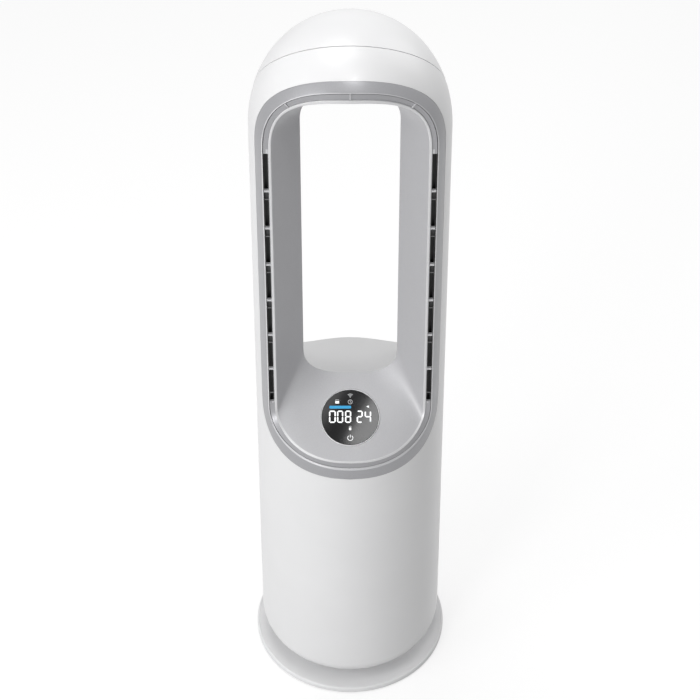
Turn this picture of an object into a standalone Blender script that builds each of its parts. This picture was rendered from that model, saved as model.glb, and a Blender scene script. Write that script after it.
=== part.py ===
"""Tower air purifier fan with an open ring outlet: a round base, a tower that swings on it,
a removable rear intake cover with a half-round filter behind it, and a mixed-flow fan.
Units are metres, +Z is up, the front faces -Y. The origin is the centre of the base's underside."""
import bpy
import bmesh
from math import sin, cos, tan, pi, radians, degrees, sqrt, atan2
from mathutils import Matrix, Vector

# Driving dimensions

HEIGHT = 1.050            # floor to the top of the dome
TOWER_R = 0.1204          # outside radius of the tower
BASE_R = 0.1290           # outside radius of the base disc
SKIN_T = 0.0025           # wall of the tower's outer skin
GAP = 0.0003              # fit between touching pieces
TURN_STEPS = 48           # steps of a full turn on the big skins

FOOT_H = 0.0015           # rubber feet below the base
FOOT_R = 0.0090
FOOT_IN = 0.0230          # feet inside the base's edge
FOOT_RING_R = BASE_R - FOOT_IN
FOOT_COUNT = 5
FOOT_WEB_W = 0.0040        # ring that joins the feet
BASE_SCREWS = 3
BASE_SCREW_AZ = 60.0      # where the first screw sits, in degrees from the front
CHASSIS_SCREWS = 3
CHASSIS_SCREW_AZ = 20.0
BASE_COVER_T = 0.0018     # sheet that closes the base from below
BASE_WEIGHT_T = 0.0024    # steel ring inside the base
BASE_WEIGHT_W = 0.0560
BASE_WEIGHT_CLEAR = 0.0040
BASE_RIM_H = 0.0098       # top of the base's rim above the floor
BASE_RIM_T = 0.0024       # wall of the rim
BASE_SKIN_T = 0.0022      # wall of the base's top
BASE_EDGE_R = 0.0026      # rounding of the rim's top edge
BASE_CROWN = 0.0014       # rise of the base's top towards its hub
HUB_R = 0.0700            # raised hub that carries the swivel
HUB_H = 0.0036            # height of the hub over the crown

SLIDE_R = 0.0610          # middle radius of the slide ring under the turntable
SLIDE_W = 0.0100
SLIDE_T = 0.0020
POST_R = 0.0300           # hollow swivel post, the cable way runs through it
POST_T = 0.0060
POST_H = 0.0400
RETAINER_W = 0.0120       # ring on the post that holds the turntable down
RETAINER_T = 0.0024

GEAR_MODULE = 0.0020      # swing drive, a pinion on a fixed spur gear
GEAR_TEETH = 44
PINION_TEETH = 11
GEAR_FACE = 0.0070        # face width of the gear
PINION_FACE = 0.0064
GEAR_BACKLASH = 0.00035   # flank clearance at the pitch line
PINION_SHAFT_R = 0.0025
STEPPER_R = 0.0135
STEPPER_H = 0.0190
BRACKET_T = 0.0020
BRACKET_L = 0.0460
BRACKET_IN = 0.0100       # bracket's inner end inside the pinion's axis
BRACKET_CLEAR = 0.0030    # space between the bracket and the drum around it
BRACKET_LEG_T = 0.0030
BRACKET_LEG_W = 0.0070

FLOOR_RISE = 0.0016       # tower's underside above the turntable's underside
BOTTOM_FILLET = 0.0340    # rounding of the tower's bottom edge
FILLET_STEPS = 3
TURN_FLANGE_T = 0.0025    # turntable flange inside the skin
TURN_FLANGE_W = 0.0034    # how far that flange laps over the skin's floor
TURN_RUN = 0.0006         # running clearance of the turntable on its post

DOME_H = 0.1400           # height of the domed top
DOME_POWER = 2.115        # fullness of the dome's curve
SEAM_Y = 0.0285           # plane where the front skin meets the back skin
SEAM_TOP_Y = -0.0262      # where that seam crosses the top of the dome
SEAM_LEAN = 0.52          # how far the seam comes forward for each metre up the dome

FRAME_EDGE = 0.0091       # the frame's outer edge inside the tower's side, seen from the front
FRAME_HALF_W = TOWER_R - FRAME_EDGE
FRAME_Z0 = 0.4222         # bottom of the frame
FRAME_TOP = 0.0201        # top of the frame below the top of the dome
FRAME_Z1 = HEIGHT - FRAME_TOP
STRAIGHT_TOP = 0.1260     # the sides of the frame and the groove are straight up to here below the dome's top
FRAME_DROP = 0.1015       # height of the frame's bottom curve
FRAME_LOW = 4.04          # squareness of that curve
FRAME_HIGH = 2.14         # squareness of its top curve
FRAME_FACE_X = 0.0094     # frame's width seen from the front, at its sides
FRAME_FACE_Z0 = 0.0191    # the same at its bottom
FRAME_FACE_Z1 = 0.0099    # the same at its top
FRAME_T = 0.0025
FRAME_RIM = 0.0012        # how far the frame's inner rim rolls in
FRAME_RETURN = 0.0085     # depth of the frame's inner flange
FRAME_FLANGE_SHARE = 0.925   # where that flange's back meets the face, from the outer edge inwards
GROOVE_DROP = 0.0570
GROOVE_LOW = 2.83
GROOVE_HIGH = 2.24
GROOVE_X = 0.0068         # width of the outlet groove at its sides
GROOVE_Z0 = 0.0101
GROOVE_Z1 = 0.0093
GROOVE_D = 0.0018         # depth of the groove's floor
GROOVE_T = 0.0016
GROOVE_FIT = 0.0004       # space between the groove's ring and its neighbours
LIP_DROP = 0.0526
LIP_LOW = 3.22
LIP_HIGH = 2.31
LIP_X = 0.0029            # liner's front lip
LIP_Z0 = 0.0032
LIP_Z1 = 0.0046
LIP_SINK = 0.0003
LIP_BACK = 0.0045         # depth of the lip's outer side
MOUTH_DROP = 0.0424
MOUTH_LOW = 3.15
MOUTH_HIGH = 2.38
LINER_T = 0.0022          # wall of the tunnel liner and the rear tunnel

THROAT_Y = -0.0163        # plane of the tunnel's narrowest ring
THROAT_IN = 0.0615        # its side inside the tower's side
THROAT_HALF_W = TOWER_R - THROAT_IN
THROAT_Z0 = 0.5097
THROAT_TOP = 0.0780
THROAT_Z1 = HEIGHT - THROAT_TOP
THROAT_DROP = 0.0440
THROAT_LOW = 2.65
THROAT_RISE = 0.0420
THROAT_HIGH = 2.65
REAR_IN = 0.0324          # rear mouth of the tunnel
REAR_HALF_W = TOWER_R - REAR_IN
REAR_Z0 = 0.4379
REAR_TOP = 0.0700
REAR_Z1 = HEIGHT - REAR_TOP
REAR_DROP = 0.0620
REAR_LOW = 3.10
REAR_RISE = 0.1000
REAR_HIGH = 2.40
REAR_STEP = 0.0008        # the rear tunnel starts this much outside the liner's rim
REAR_LAP = 0.0040         # depth of the rear tunnel's rim
CURVE_STEPS = 24          # points on each end curve of the frame
SIDE_STEPS = 3

SLOT_COUNT = 7            # outlet slots on each side
SLOT_Z0 = 0.5192          # bottom of the lowest slot
SLOTS_TOP = 0.1234        # top of the highest slot below the dome's top
SLOT_BAR = 0.0035         # bar between two slots
SLOT_RIM = 0.0004         # what is left of the ring beside a slot
SLOT_CORNER = 0.0012
RIB_W = 0.0016            # small ribs across the top groove
RIB_SHARES = (0.25, 0.50, 0.75)   # where they are on the groove's top curve
RIB_SINK = 0.0006         # their top below the face
NOZZLE_D = 0.0065         # depth of the dark channel behind the slots
NOZZLE_WALL = 0.0008
NOZZLE_END = 0.0030       # the channel runs this far past the slots

DISPLAY_R = 0.0372        # round display on the tunnel's sloping floor
DISPLAY_RING_W = 0.0008
DISPLAY_T = 0.0020
DISPLAY_RING_T = 0.0026
DISPLAY_PROUD = 0.0004
DISPLAY_Y = -0.0687       # centre of the display
DISPLAY_CUP_H = 0.0130
DISPLAY_CUP_T = 0.0022
CUP_CLEAR = 0.0014        # space between the cup and the liner
DISPLAY_BOARD_T = 0.0016

INTAKE_Z0 = 0.1277        # opening for the rear intake cover
INTAKE_Z1 = 0.3037
INTAKE_AZ = 79.2          # where the opening starts, in degrees from the front
GRILLE_COLUMNS = 24
GRILLE_ROWS = 3
GRILLE_EDGE = 0.0080      # plain border at the cover's top and bottom
GRILLE_BAR = 0.0042       # bar between two rows
GRIP_W = 0.0360           # finger grip on the cover
GRIP_H = 0.0090
GRIP_D = 0.0040

BAY_IN = 0.0469           # inner wall of the filter bay, inside the tower's side
BAY_R = TOWER_R - BAY_IN
BAY_WALL_T = 0.0025
BAY_CLEAR = 0.0049        # bay's flanges inside the tower's side
BAY_FLANGE_R = TOWER_R - BAY_CLEAR
BAY_FLANGE_T = 0.0028
BAY_AZ = 64.0
BAY_END_T = 2.2           # degrees
BAY_WINDOWS = 9
BAY_WINDOW_W = 0.0180
BAY_WINDOW_STEP = 23.0    # degrees
BAY_WINDOW_EDGE = 0.0080  # wall above and below a window
FILTER_AZ = 80.0          # where the filter starts, in degrees from the front
FILTER_CLEAR = 0.0040     # space between the bay's wall and the filter
FILTER_IN = 0.0084        # filter inside the tower's side
FILTER_R = TOWER_R - FILTER_IN
FILTER_CAP_T = 0.0040
FILTER_END = 3.5          # degrees
PLEATS = 30
PLEAT_T = 0.0010
PLEAT_SHEET = 1.9         # radial step of the folded sheet, in sheet thicknesses
PLEAT_CLEAR = 0.0022
TAB_W = 0.0240
TAB_L = 0.0300
TAB_T = 0.0016

CHASSIS_OUT = 0.0135      # drum between the turntable and the filter bay, outside the bay's wall
CHASSIS_R = BAY_R + CHASSIS_OUT
CHASSIS_T = 0.0025
CHASSIS_WINDOWS = 4
CHASSIS_WINDOW_W = 0.0500
CHASSIS_WINDOW_SHARE = 0.50   # of the drum's height
DRUM_STEPS = 36           # steps of a full turn on the drum
DECK_T = 0.0025           # deck over the filter bay, with the fan's inlet
DECK_CLEAR = 0.0044       # deck inside the tower's side
DECK_R = TOWER_R - DECK_CLEAR
INLET_R = 0.0580
INLET_LIP = 0.0080
INLET_LIP_T = 0.0022
HOUSING_FLANGE_CLEAR = 0.0124   # fan housing's flange inside the tower's side
HOUSING_FLANGE_R = TOWER_R - HOUSING_FLANGE_CLEAR
HOUSING_FLANGE_W = 0.0140
HOUSING_R = HOUSING_FLANGE_R - HOUSING_FLANGE_W
HOUSING_T = 0.0020
HOUSING_TOP = 0.4300
FAN_STEPS = 36            # steps of a full turn on the fan's housing
HOUSING_FLANGE_T = 0.0025
COVER_T = 0.0025          # lid over the fan housing
IMPELLER_LIFT = 0.0040    # impeller above the inlet's lip
IMPELLER_H = 0.0460
IMPELLER_TIP_GAP = 0.0035
IMPELLER_HUB_R0 = 0.0180
IMPELLER_HUB_R1 = 0.0500
BLADES = 9
BLADE_T = 0.0016
BLADE_TWIST = 46.0        # sweep of a blade from root to tip, in degrees
BLADE_LEAN = 26.0         # lean of a blade over its height, in degrees
BLADE_ROOT = 0.0060       # how far a blade reaches into the hub
BLADE_LIFT = 0.0030       # blade's root above the hub's lower end
BLADE_RISE = 0.0120       # how much higher its tip starts
BLADE_BELOW = 0.0020      # blade's top below the hub's
HUB_EDGE = 0.0030         # straight edge at the hub's top
SHAFT_R = 0.0040
SHAFT_END = 0.0050        # shaft below the hub
MOTOR_LIFT = 0.0070       # motor above the impeller
MOTOR_R = 0.0280
MOTOR_H = 0.0330
MOTOR_RING_T = 0.0030
VANES = 7
VANE_H = 0.0260
VANE_T = 0.0020

DUCT_EDGE = 0.0010        # ducts inside the edge of the housing's lid
DUCT_R = HOUSING_FLANGE_R - DUCT_EDGE
DUCT_T = 0.0016
DUCT_OVER = 0.0250        # ducts above the start of the dome
DUCT_TOP = HEIGHT - DOME_H + DUCT_OVER
DUCT_CLEAR = 0.0055       # space between a duct and the tunnel's walls
DUCT_SLOT_AZ = 4.2        # width of the duct's mouth towards the slots, in degrees
DUCT_SLOT_START = 0.8     # where that mouth starts from the duct's front edge, in degrees
DUCT_SLOT_END = 0.0100    # the mouth stops this far inside the slots' two ends
DUCT_STEPS = 10

BOARD_IN = 0.0170         # control board inside the chassis drum's front
BOARD_Y = BOARD_IN - CHASSIS_R
BOARD_H = 0.0520
BOARD_T = 0.0016
BOARD_LIFT = 0.0400       # above the turntable
RELAY = (-0.026, 0.018, 0.019, 0.015, 0.012)      # place across and up the board, width, height, depth
CHIP = (0.002, 0.030, 0.016, 0.016, 0.004)
CAPACITOR = (0.028, 0.018, 0.012, 0.020, 0.010)
SUPPLY_W = 0.0600
SUPPLY_D = 0.0320
SUPPLY_H = 0.0400
SENSOR_W = 0.0320
SENSOR_D = 0.0140
SENSOR_H = 0.0440
SCREW_R = 0.0016
SCREW_HEAD_R = 0.0034
SCREW_HEAD_H = 0.0010
SCREW_BITE = 0.0040        # depth of a screw in the turntable
GROMMET_R = 0.0025
GROMMET_BORE = 0.0015

WHITE = (0.86, 0.86, 0.865)
SILVER = (0.56, 0.56, 0.58)
LINER_GREY = (0.50, 0.50, 0.52)
DARK = (0.02, 0.02, 0.022)
RUBBER = (0.03, 0.03, 0.03)
STEEL = (0.55, 0.56, 0.57)
NATURAL = (0.72, 0.72, 0.70)
GREEN = (0.03, 0.16, 0.07)
FLEECE = (0.83, 0.84, 0.82)

# Heights that follow from the sizes above

base_cover_z = FOOT_H + BASE_COVER_T
weight_z0 = base_cover_z + GAP
crown_z = BASE_RIM_H + BASE_CROWN
hub_z = crown_z + HUB_H
slide_z0 = hub_z + GAP
turn_z0 = slide_z0 + SLIDE_T + GAP
floor_z = turn_z0 + FLOOR_RISE
turn_lap_z = floor_z + SKIN_T + GAP + TURN_FLANGE_W * tan(pi / 4 / FILLET_STEPS)
turn_z1 = turn_lap_z + TURN_FLANGE_T
turn_bore = POST_R + TURN_RUN
retainer_z0 = turn_z1 + GAP
retainer_z1 = retainer_z0 + RETAINER_T
gear_z0 = retainer_z1 + GAP
gear_z1 = gear_z0 + GEAR_FACE
post_z1 = slide_z0 + POST_H
gear_pitch_r = GEAR_MODULE * GEAR_TEETH / 2
pinion_pitch_r = GEAR_MODULE * PINION_TEETH / 2
pinion_x = gear_pitch_r + pinion_pitch_r
bracket_z0 = gear_z1 + GAP
bracket_z1 = bracket_z0 + BRACKET_T
stepper_z0 = bracket_z1 + GAP
dome_z = HEIGHT - DOME_H
skin_in_r = TOWER_R - SKIN_T
floor_r = TOWER_R - BOTTOM_FILLET
bay_z0 = INTAKE_Z0 - BAY_FLANGE_T - GAP
bay_z1 = INTAKE_Z1 + BAY_FLANGE_T + GAP
deck_z0 = bay_z1 + GAP
deck_z1 = deck_z0 + DECK_T
housing_z0 = deck_z1 + GAP
cover_z0 = HOUSING_TOP + GAP
cover_z1 = cover_z0 + COVER_T
duct_z0 = cover_z1 + GAP
impeller_z0 = deck_z1 + INLET_LIP + IMPELLER_LIFT
impeller_z1 = impeller_z0 + IMPELLER_H
motor_z0 = impeller_z1 + MOTOR_LIFT
motor_z1 = motor_z0 + MOTOR_H
housing_in_r = HOUSING_R - HOUSING_T
drum_in_r = (CHASSIS_R - CHASSIS_T) * cos(pi / DRUM_STEPS)
slots_top = HEIGHT - SLOTS_TOP
slot_l = (slots_top - SLOT_Z0 - (SLOT_COUNT - 1) * SLOT_BAR) / SLOT_COUNT
slot_pitch = slot_l + SLOT_BAR

for old in list(bpy.data.objects):
    bpy.data.objects.remove(old, do_unlink=True)

parts = bpy.data.collections.new("air_purifier_fan")
cutters = bpy.data.collections.new("cutters")
bpy.context.scene.collection.children.link(parts)
bpy.context.scene.collection.children.link(cutters)


def material(name, color, roughness, metallic=0.0):
    mat = bpy.data.materials.new(name)
    mat.use_nodes = True
    shader = mat.node_tree.nodes["Principled BSDF"]
    shader.inputs["Base Color"].default_value = (*color, 1.0)
    shader.inputs["Roughness"].default_value = roughness
    shader.inputs["Metallic"].default_value = metallic
    return mat


def place(name, mesh, look, home=None, sharp=32.0):
    """Adds a mesh as a named object with its own material."""
    obj = bpy.data.objects.new(name, mesh)
    (home or parts).objects.link(obj)
    if look is not None:
        mesh.materials.append(material(name, *look))
    mesh.shade_smooth()
    mesh.set_sharp_from_angle(angle=radians(sharp))
    return obj


def cutter(name, mesh):
    obj = place(name, mesh, None, cutters)
    obj.hide_render = True
    obj.display_type = "WIRE"
    return obj


def to_mesh(name, bm):
    bmesh.ops.recalc_face_normals(bm, faces=bm.faces)
    mesh = bpy.data.meshes.new(name)
    bm.to_mesh(mesh)
    bm.free()
    return mesh


def boolean(obj, tool, operation="DIFFERENCE"):
    mod = obj.modifiers.new(operation.lower() + "_" + tool.name, "BOOLEAN")
    mod.operation = operation
    mod.object = tool
    mod.solver = "EXACT"
    return mod


def turned(name, profile, look, steps=TURN_STEPS, home=None):
    """Turns a closed profile round Z. It runs down its outer side and up its inner side."""
    mesh = bpy.data.meshes.new(name)
    count = len(profile)
    on_axis = profile[0][0] == 0 and profile[-1][0] == 0
    edges = [(i, i + 1) for i in range(count - 1)]
    if not on_axis:
        edges.append((count - 1, 0))
    mesh.from_pydata([(r, 0, z) for r, z in profile], edges, [])
    obj = bpy.data.objects.new(name, mesh)
    (home or parts).objects.link(obj)
    if look is not None:
        mesh.materials.append(material(name, *look))
    screw = obj.modifiers.new("turn", "SCREW")
    screw.angle = 2 * pi
    screw.steps = steps
    screw.render_steps = steps
    screw.use_merge_vertices = True
    screw.merge_threshold = 0.00001
    screw.use_smooth_shade = True
    screw.use_normal_calculate = False
    return obj


def rod_mesh(name, r, z0, z1, x=0.0, y=0.0, steps=24):
    """A cylinder that stands on z0."""
    bm = bmesh.new()
    bmesh.ops.create_cone(bm, cap_ends=True, segments=steps, radius1=r, radius2=r, depth=z1 - z0,
                          matrix=Matrix.Translation((x, y, (z0 + z1) / 2)))
    return to_mesh(name, bm)


def box_into(bm, size, center, turn=0.0):
    """Adds a box, turned about Z through its own centre by an angle in degrees."""
    mat = (Matrix.Translation(center) @ Matrix.Rotation(radians(turn), 4, "Z")
           @ Matrix.Diagonal((*size, 1.0)))
    return bmesh.ops.create_cube(bm, size=1.0, matrix=mat)


def box_mesh(name, size, center, turn=0.0):
    bm = bmesh.new()
    box_into(bm, size, center, turn)
    return to_mesh(name, bm)


def prism(name, outline, low, high, axis="Z"):
    """Extrudes a flat outline. For axis Z it lies in XY, for Y in XZ, for X in YZ."""
    lift = {"Z": lambda p, q: (p[0], p[1], q), "Y": lambda p, q: (p[0], q, p[1]),
            "X": lambda p, q: (q, p[0], p[1])}[axis]
    bm = bmesh.new()
    face = bm.faces.new([bm.verts.new(lift(p, low)) for p in outline])
    moved = bmesh.ops.extrude_face_region(bm, geom=[face])
    step = Vector(lift((0, 0), high - low))
    bmesh.ops.translate(bm, vec=step, verts=[v for v in moved["geom"] if isinstance(v, bmesh.types.BMVert)])
    return to_mesh(name, bm)


def at(r, az, z=0.0):
    """A point at a radius and an angle in degrees from the front, towards +X."""
    return Vector((r * sin(radians(az)), -r * cos(radians(az)), z))


def sector(r0, r1, az0, az1, steps):
    """Flat outline of part of a ring."""
    outer = [at(r1, az0 + (az1 - az0) * i / steps) for i in range(steps + 1)]
    inner = [at(r0, az0 + (az1 - az0) * i / steps) for i in range(steps, -1, -1)]
    return [(p.x, p.y) for p in outer + inner]


def ring_loft(name, sections):
    """Joins closed sections of equal count into one closed ring."""
    bm = bmesh.new()
    rings = [[bm.verts.new(p) for p in loop] for loop in sections]
    count = len(rings[0])
    for i, ring in enumerate(rings):
        nxt = rings[(i + 1) % len(rings)]
        for k in range(count):
            bm.faces.new((ring[k], ring[(k + 1) % count], nxt[(k + 1) % count], nxt[k]))
    bmesh.ops.triangulate(bm, faces=bm.faces)
    return to_mesh(name, bm)


# The tower's outer surface

def skin_profile(depth):
    """Outer side of the tower from the top of the dome to its floor, moved in by depth."""
    points = []
    dome_steps = 8
    for i in range(dome_steps + 1):
        turn = pi / 2 * i / dome_steps
        r = TOWER_R * sin(turn) ** (2 / DOME_POWER)
        z = dome_z + DOME_H * cos(turn) ** (2 / DOME_POWER) if i < dome_steps else dome_z
        normal = surface_normal_2d(r, z)
        points.append((0.0 if i == 0 else r - depth * normal[0], z - depth * normal[1]))
    for i in range(FILLET_STEPS + 1):
        turn = pi / 2 * i / FILLET_STEPS
        r = floor_r + (BOTTOM_FILLET - depth) * cos(turn)
        z = floor_z + BOTTOM_FILLET - (BOTTOM_FILLET - depth) * sin(turn)
        points.append((r, z))
    return points


def surface_radius(z):
    if z <= dome_z:
        return TOWER_R
    t = min((z - dome_z) / DOME_H, 1.0)
    return TOWER_R * (1 - t ** DOME_POWER) ** (1 / DOME_POWER)


def surface_normal_2d(r, z):
    if z <= dome_z:
        return (1.0, 0.0)
    nr = (r / TOWER_R) ** (DOME_POWER - 1) / TOWER_R
    nz = ((z - dome_z) / DOME_H) ** (DOME_POWER - 1) / DOME_H
    size = sqrt(nr * nr + nz * nz)
    return (nr / size, nz / size)


def on_skin(x, z, depth, side=-1.0):
    """The point of the outer surface that shows at x, z from the front or the back, moved in."""
    r = surface_radius(z)
    y = side * sqrt(max(r * r - x * x, 0.0))
    nr, nz = surface_normal_2d(r, z)
    return Vector((x - depth * nr * x / r, y - depth * nr * y / r, z - depth * nz))


def arch(half_w, z0, drop, low_power, z1, rise, high_power):
    """A closed upright outline with a curved bottom and a curved top, seen from the front."""
    points = []
    low_z, high_z = z0 + drop, z1 - rise
    for i in range(CURVE_STEPS + 1):
        turn = pi + pi * i / CURVE_STEPS
        c, s = cos(turn), sin(turn)
        points.append((half_w * (abs(c) ** (2 / low_power)) * (1 if c > 0 else -1),
                       low_z - drop * abs(s) ** (2 / low_power)))
    for i in range(1, SIDE_STEPS):
        points.append((half_w, low_z + (high_z - low_z) * i / SIDE_STEPS))
    for i in range(CURVE_STEPS + 1):
        turn = pi * i / CURVE_STEPS
        c, s = cos(turn), sin(turn)
        points.append((half_w * (abs(c) ** (2 / high_power)) * (1 if c > 0 else -1),
                       high_z + rise * abs(s) ** (2 / high_power)))
    for i in range(1, SIDE_STEPS):
        points.append((-half_w, high_z + (low_z - high_z) * i / SIDE_STEPS))
    return points


def grown(outline, size):
    """An outline moved out by a size in its own plane."""
    out = []
    count = len(outline)
    for i, p in enumerate(outline):
        a, b = outline[i - 1], outline[(i + 1) % count]
        tx, tz = b[0] - a[0], b[1] - a[1]
        length = sqrt(tx * tx + tz * tz)
        out.append((p[0] + size * tz / length, p[1] - size * tx / length))
    return out


def between(p, q, share):
    return (p[0] + (q[0] - p[0]) * share, p[1] + (q[1] - p[1]) * share)


def towards(p, q, size):
    """The point a size away from p on the way to q."""
    return between(p, q, size / sqrt((q[0] - p[0]) ** 2 + (q[1] - p[1]) ** 2))


straight_z = HEIGHT - STRAIGHT_TOP
frame_out = arch(FRAME_HALF_W, FRAME_Z0, FRAME_DROP, FRAME_LOW, FRAME_Z1, FRAME_Z1 - straight_z, FRAME_HIGH)
groove_half_w = FRAME_HALF_W - FRAME_FACE_X
groove_z0 = FRAME_Z0 + FRAME_FACE_Z0
groove_z1 = FRAME_Z1 - FRAME_FACE_Z1
frame_in = arch(groove_half_w, groove_z0, GROOVE_DROP, GROOVE_LOW,
                groove_z1, groove_z1 - straight_z, GROOVE_HIGH)
lip_half_w = groove_half_w - GROOVE_X
lip_z0 = groove_z0 + GROOVE_Z0
lip_z1 = groove_z1 - GROOVE_Z1
lip_out = arch(lip_half_w, lip_z0, LIP_DROP, LIP_LOW, lip_z1, lip_z1 - straight_z, LIP_HIGH)
mouth_half_w = lip_half_w - LIP_X
mouth_z0 = lip_z0 + LIP_Z0
mouth_z1 = lip_z1 - LIP_Z1
mouth = arch(mouth_half_w, mouth_z0, MOUTH_DROP, MOUTH_LOW, mouth_z1, mouth_z1 - straight_z, MOUTH_HIGH)
throat = arch(THROAT_HALF_W, THROAT_Z0, THROAT_DROP, THROAT_LOW, THROAT_Z1, THROAT_RISE, THROAT_HIGH)
rear_mouth = arch(REAR_HALF_W, REAR_Z0, REAR_DROP, REAR_LOW, REAR_Z1, REAR_RISE, REAR_HIGH)


def face_y(edge):
    """Where the outer surface is behind a point of the frame's inner edge."""
    return on_skin(*edge, 0.0).y


def behind(edge, point, depth):
    """A point inside the frame's inner edge. It is as far forward as that edge, less a depth."""
    return Vector((point[0], face_y(edge) + depth, point[1]))


# Base

base_top = [
    (HUB_R, hub_z), (HUB_R, crown_z), (BASE_R - BASE_EDGE_R, BASE_RIM_H)]
for i in range(1, 3):
    turn = pi / 2 * i / 3
    base_top.append((BASE_R - BASE_EDGE_R + BASE_EDGE_R * sin(turn),
                     BASE_RIM_H - BASE_EDGE_R + BASE_EDGE_R * cos(turn)))
rim_in_r = BASE_R - BASE_RIM_T
post_bore = POST_R - POST_T
base_profile = ([(post_bore, hub_z)] + base_top
                + [(BASE_R, BASE_RIM_H - BASE_EDGE_R), (BASE_R, FOOT_H), (rim_in_r, FOOT_H),
                   (rim_in_r, BASE_RIM_H - BASE_SKIN_T), (HUB_R, crown_z - BASE_SKIN_T),
                   (post_bore, crown_z - BASE_SKIN_T)])
base_plate = turned("base_plate", base_profile, (WHITE, 0.42))
grommet_z = (base_cover_z + BASE_RIM_H) / 2
hole = rod_mesh("grommet_hole", GROMMET_R + GAP, -0.010, 0.010, steps=20)
hole.transform(Matrix.Translation((0, BASE_R, grommet_z)) @ Matrix.Rotation(pi / 2, 4, "X"))
boolean(base_plate, cutter("grommet_hole", hole))

grommet = turned("cord_grommet", [(GROMMET_R, 0.0), (GROMMET_R, -BASE_RIM_T - 0.001),
                                  (GROMMET_BORE, -BASE_RIM_T - 0.001), (GROMMET_BORE, 0.0)],
                 (RUBBER, 0.8), 20)
grommet.location = (0, BASE_R - 0.0004, grommet_z)
grommet.rotation_euler = (-pi / 2, 0, 0)

cover_r = rim_in_r - GAP
base_cover = place("base_cover", rod_mesh("base_cover", cover_r, FOOT_H, base_cover_z, steps=40),
                   ((0.12, 0.12, 0.125), 0.6))
boolean(base_cover, cutter("base_cover_bore", rod_mesh("base_cover_bore", post_bore, 0.0, 0.01)))
hole_bm = bmesh.new()
screw_ring_r = FOOT_RING_R - FOOT_R - 3 * SCREW_HEAD_R
for i in range(BASE_SCREWS):
    p = at(screw_ring_r, BASE_SCREW_AZ + 360 * i / BASE_SCREWS)
    bmesh.ops.create_cone(hole_bm, cap_ends=True, segments=16, radius1=SCREW_R + GAP,
                          radius2=SCREW_R + GAP, depth=0.02, matrix=Matrix.Translation((p.x, p.y, 0)))
boolean(base_cover, cutter("base_screw_holes", to_mesh("base_screw_holes", hole_bm)))
weight_r1 = rim_in_r - BASE_WEIGHT_CLEAR
weight_r0 = weight_r1 - BASE_WEIGHT_W
base_weight = turned("base_weight", [(weight_r1, weight_z0 + BASE_WEIGHT_T), (weight_r1, weight_z0),
                                     (weight_r0, weight_z0), (weight_r0, weight_z0 + BASE_WEIGHT_T)],
                     (STEEL, 0.35, 0.9), 30)
hole_bm = bmesh.new()
for i in range(BASE_SCREWS):
    p = at(screw_ring_r, BASE_SCREW_AZ + 360 * i / BASE_SCREWS)
    bmesh.ops.create_cone(hole_bm, cap_ends=True, segments=12, radius1=2 * SCREW_R,
                          radius2=2 * SCREW_R, depth=0.04, matrix=Matrix.Translation((p.x, p.y, 0)))
boolean(base_weight, cutter("weight_holes", to_mesh("weight_holes", hole_bm)))


def screw(name, x, y, head_z, shank_z, look, steps=12):
    """A pan-head screw: a turned piece with its head from head_z[0] to head_z[1]."""
    top, low = head_z
    if shank_z < low:
        profile = [(0.0, top), (SCREW_HEAD_R, top), (SCREW_HEAD_R, low), (SCREW_R, low),
                   (SCREW_R, shank_z), (0.0, shank_z)]
    else:
        profile = [(0.0, shank_z), (SCREW_R, shank_z), (SCREW_R, low), (SCREW_HEAD_R, low),
                   (SCREW_HEAD_R, top), (0.0, top)]
    obj = turned(name, profile, look, steps)
    obj.location = (x, y, 0)
    return obj


for i in range(BASE_SCREWS):
    p = at(screw_ring_r, BASE_SCREW_AZ + 360 * i / BASE_SCREWS)
    screw("base_screw_%d" % (i + 1), p.x, p.y, (FOOT_H - GAP - SCREW_HEAD_H, FOOT_H - GAP),
          weight_z0 + BASE_WEIGHT_T, (STEEL, 0.3, 0.9))

pad_top = FOOT_H - GAP
web_r0, web_r1 = FOOT_RING_R - FOOT_WEB_W / 2, FOOT_RING_R + FOOT_WEB_W / 2
foot_ring = turned("rubber_feet", [(web_r1, pad_top), (web_r1, pad_top / 2), (web_r0, pad_top / 2),
                                   (web_r0, pad_top)], (RUBBER, 0.85), 25)
feet_bm = bmesh.new()
for i in range(FOOT_COUNT):
    p = at(FOOT_RING_R, 360 * i / FOOT_COUNT)
    bmesh.ops.create_cone(feet_bm, cap_ends=True, segments=12, radius1=FOOT_R, radius2=FOOT_R,
                          depth=pad_top, matrix=Matrix.Translation((p.x, p.y, pad_top / 2)))
boolean(foot_ring, cutter("foot_pads", to_mesh("foot_pads", feet_bm)), "UNION")

# Swivel

turned("slide_ring", [(SLIDE_R + SLIDE_W / 2, slide_z0 + SLIDE_T), (SLIDE_R + SLIDE_W / 2, slide_z0),
                      (SLIDE_R - SLIDE_W / 2, slide_z0), (SLIDE_R - SLIDE_W / 2, slide_z0 + SLIDE_T)],
       (NATURAL, 0.3), 28)
turned("swivel_post", [(POST_R, post_z1), (POST_R, slide_z0), (post_bore, slide_z0), (post_bore, post_z1)],
((0.25, 0.25, 0.26), 0.5), 28)
ring_in_r = POST_R + GAP
turned("retaining_ring", [(ring_in_r + RETAINER_W, retainer_z1), (ring_in_r + RETAINER_W, retainer_z0),
                          (ring_in_r, retainer_z0), (ring_in_r, retainer_z1)], (STEEL, 0.3, 0.9), 28)


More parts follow.
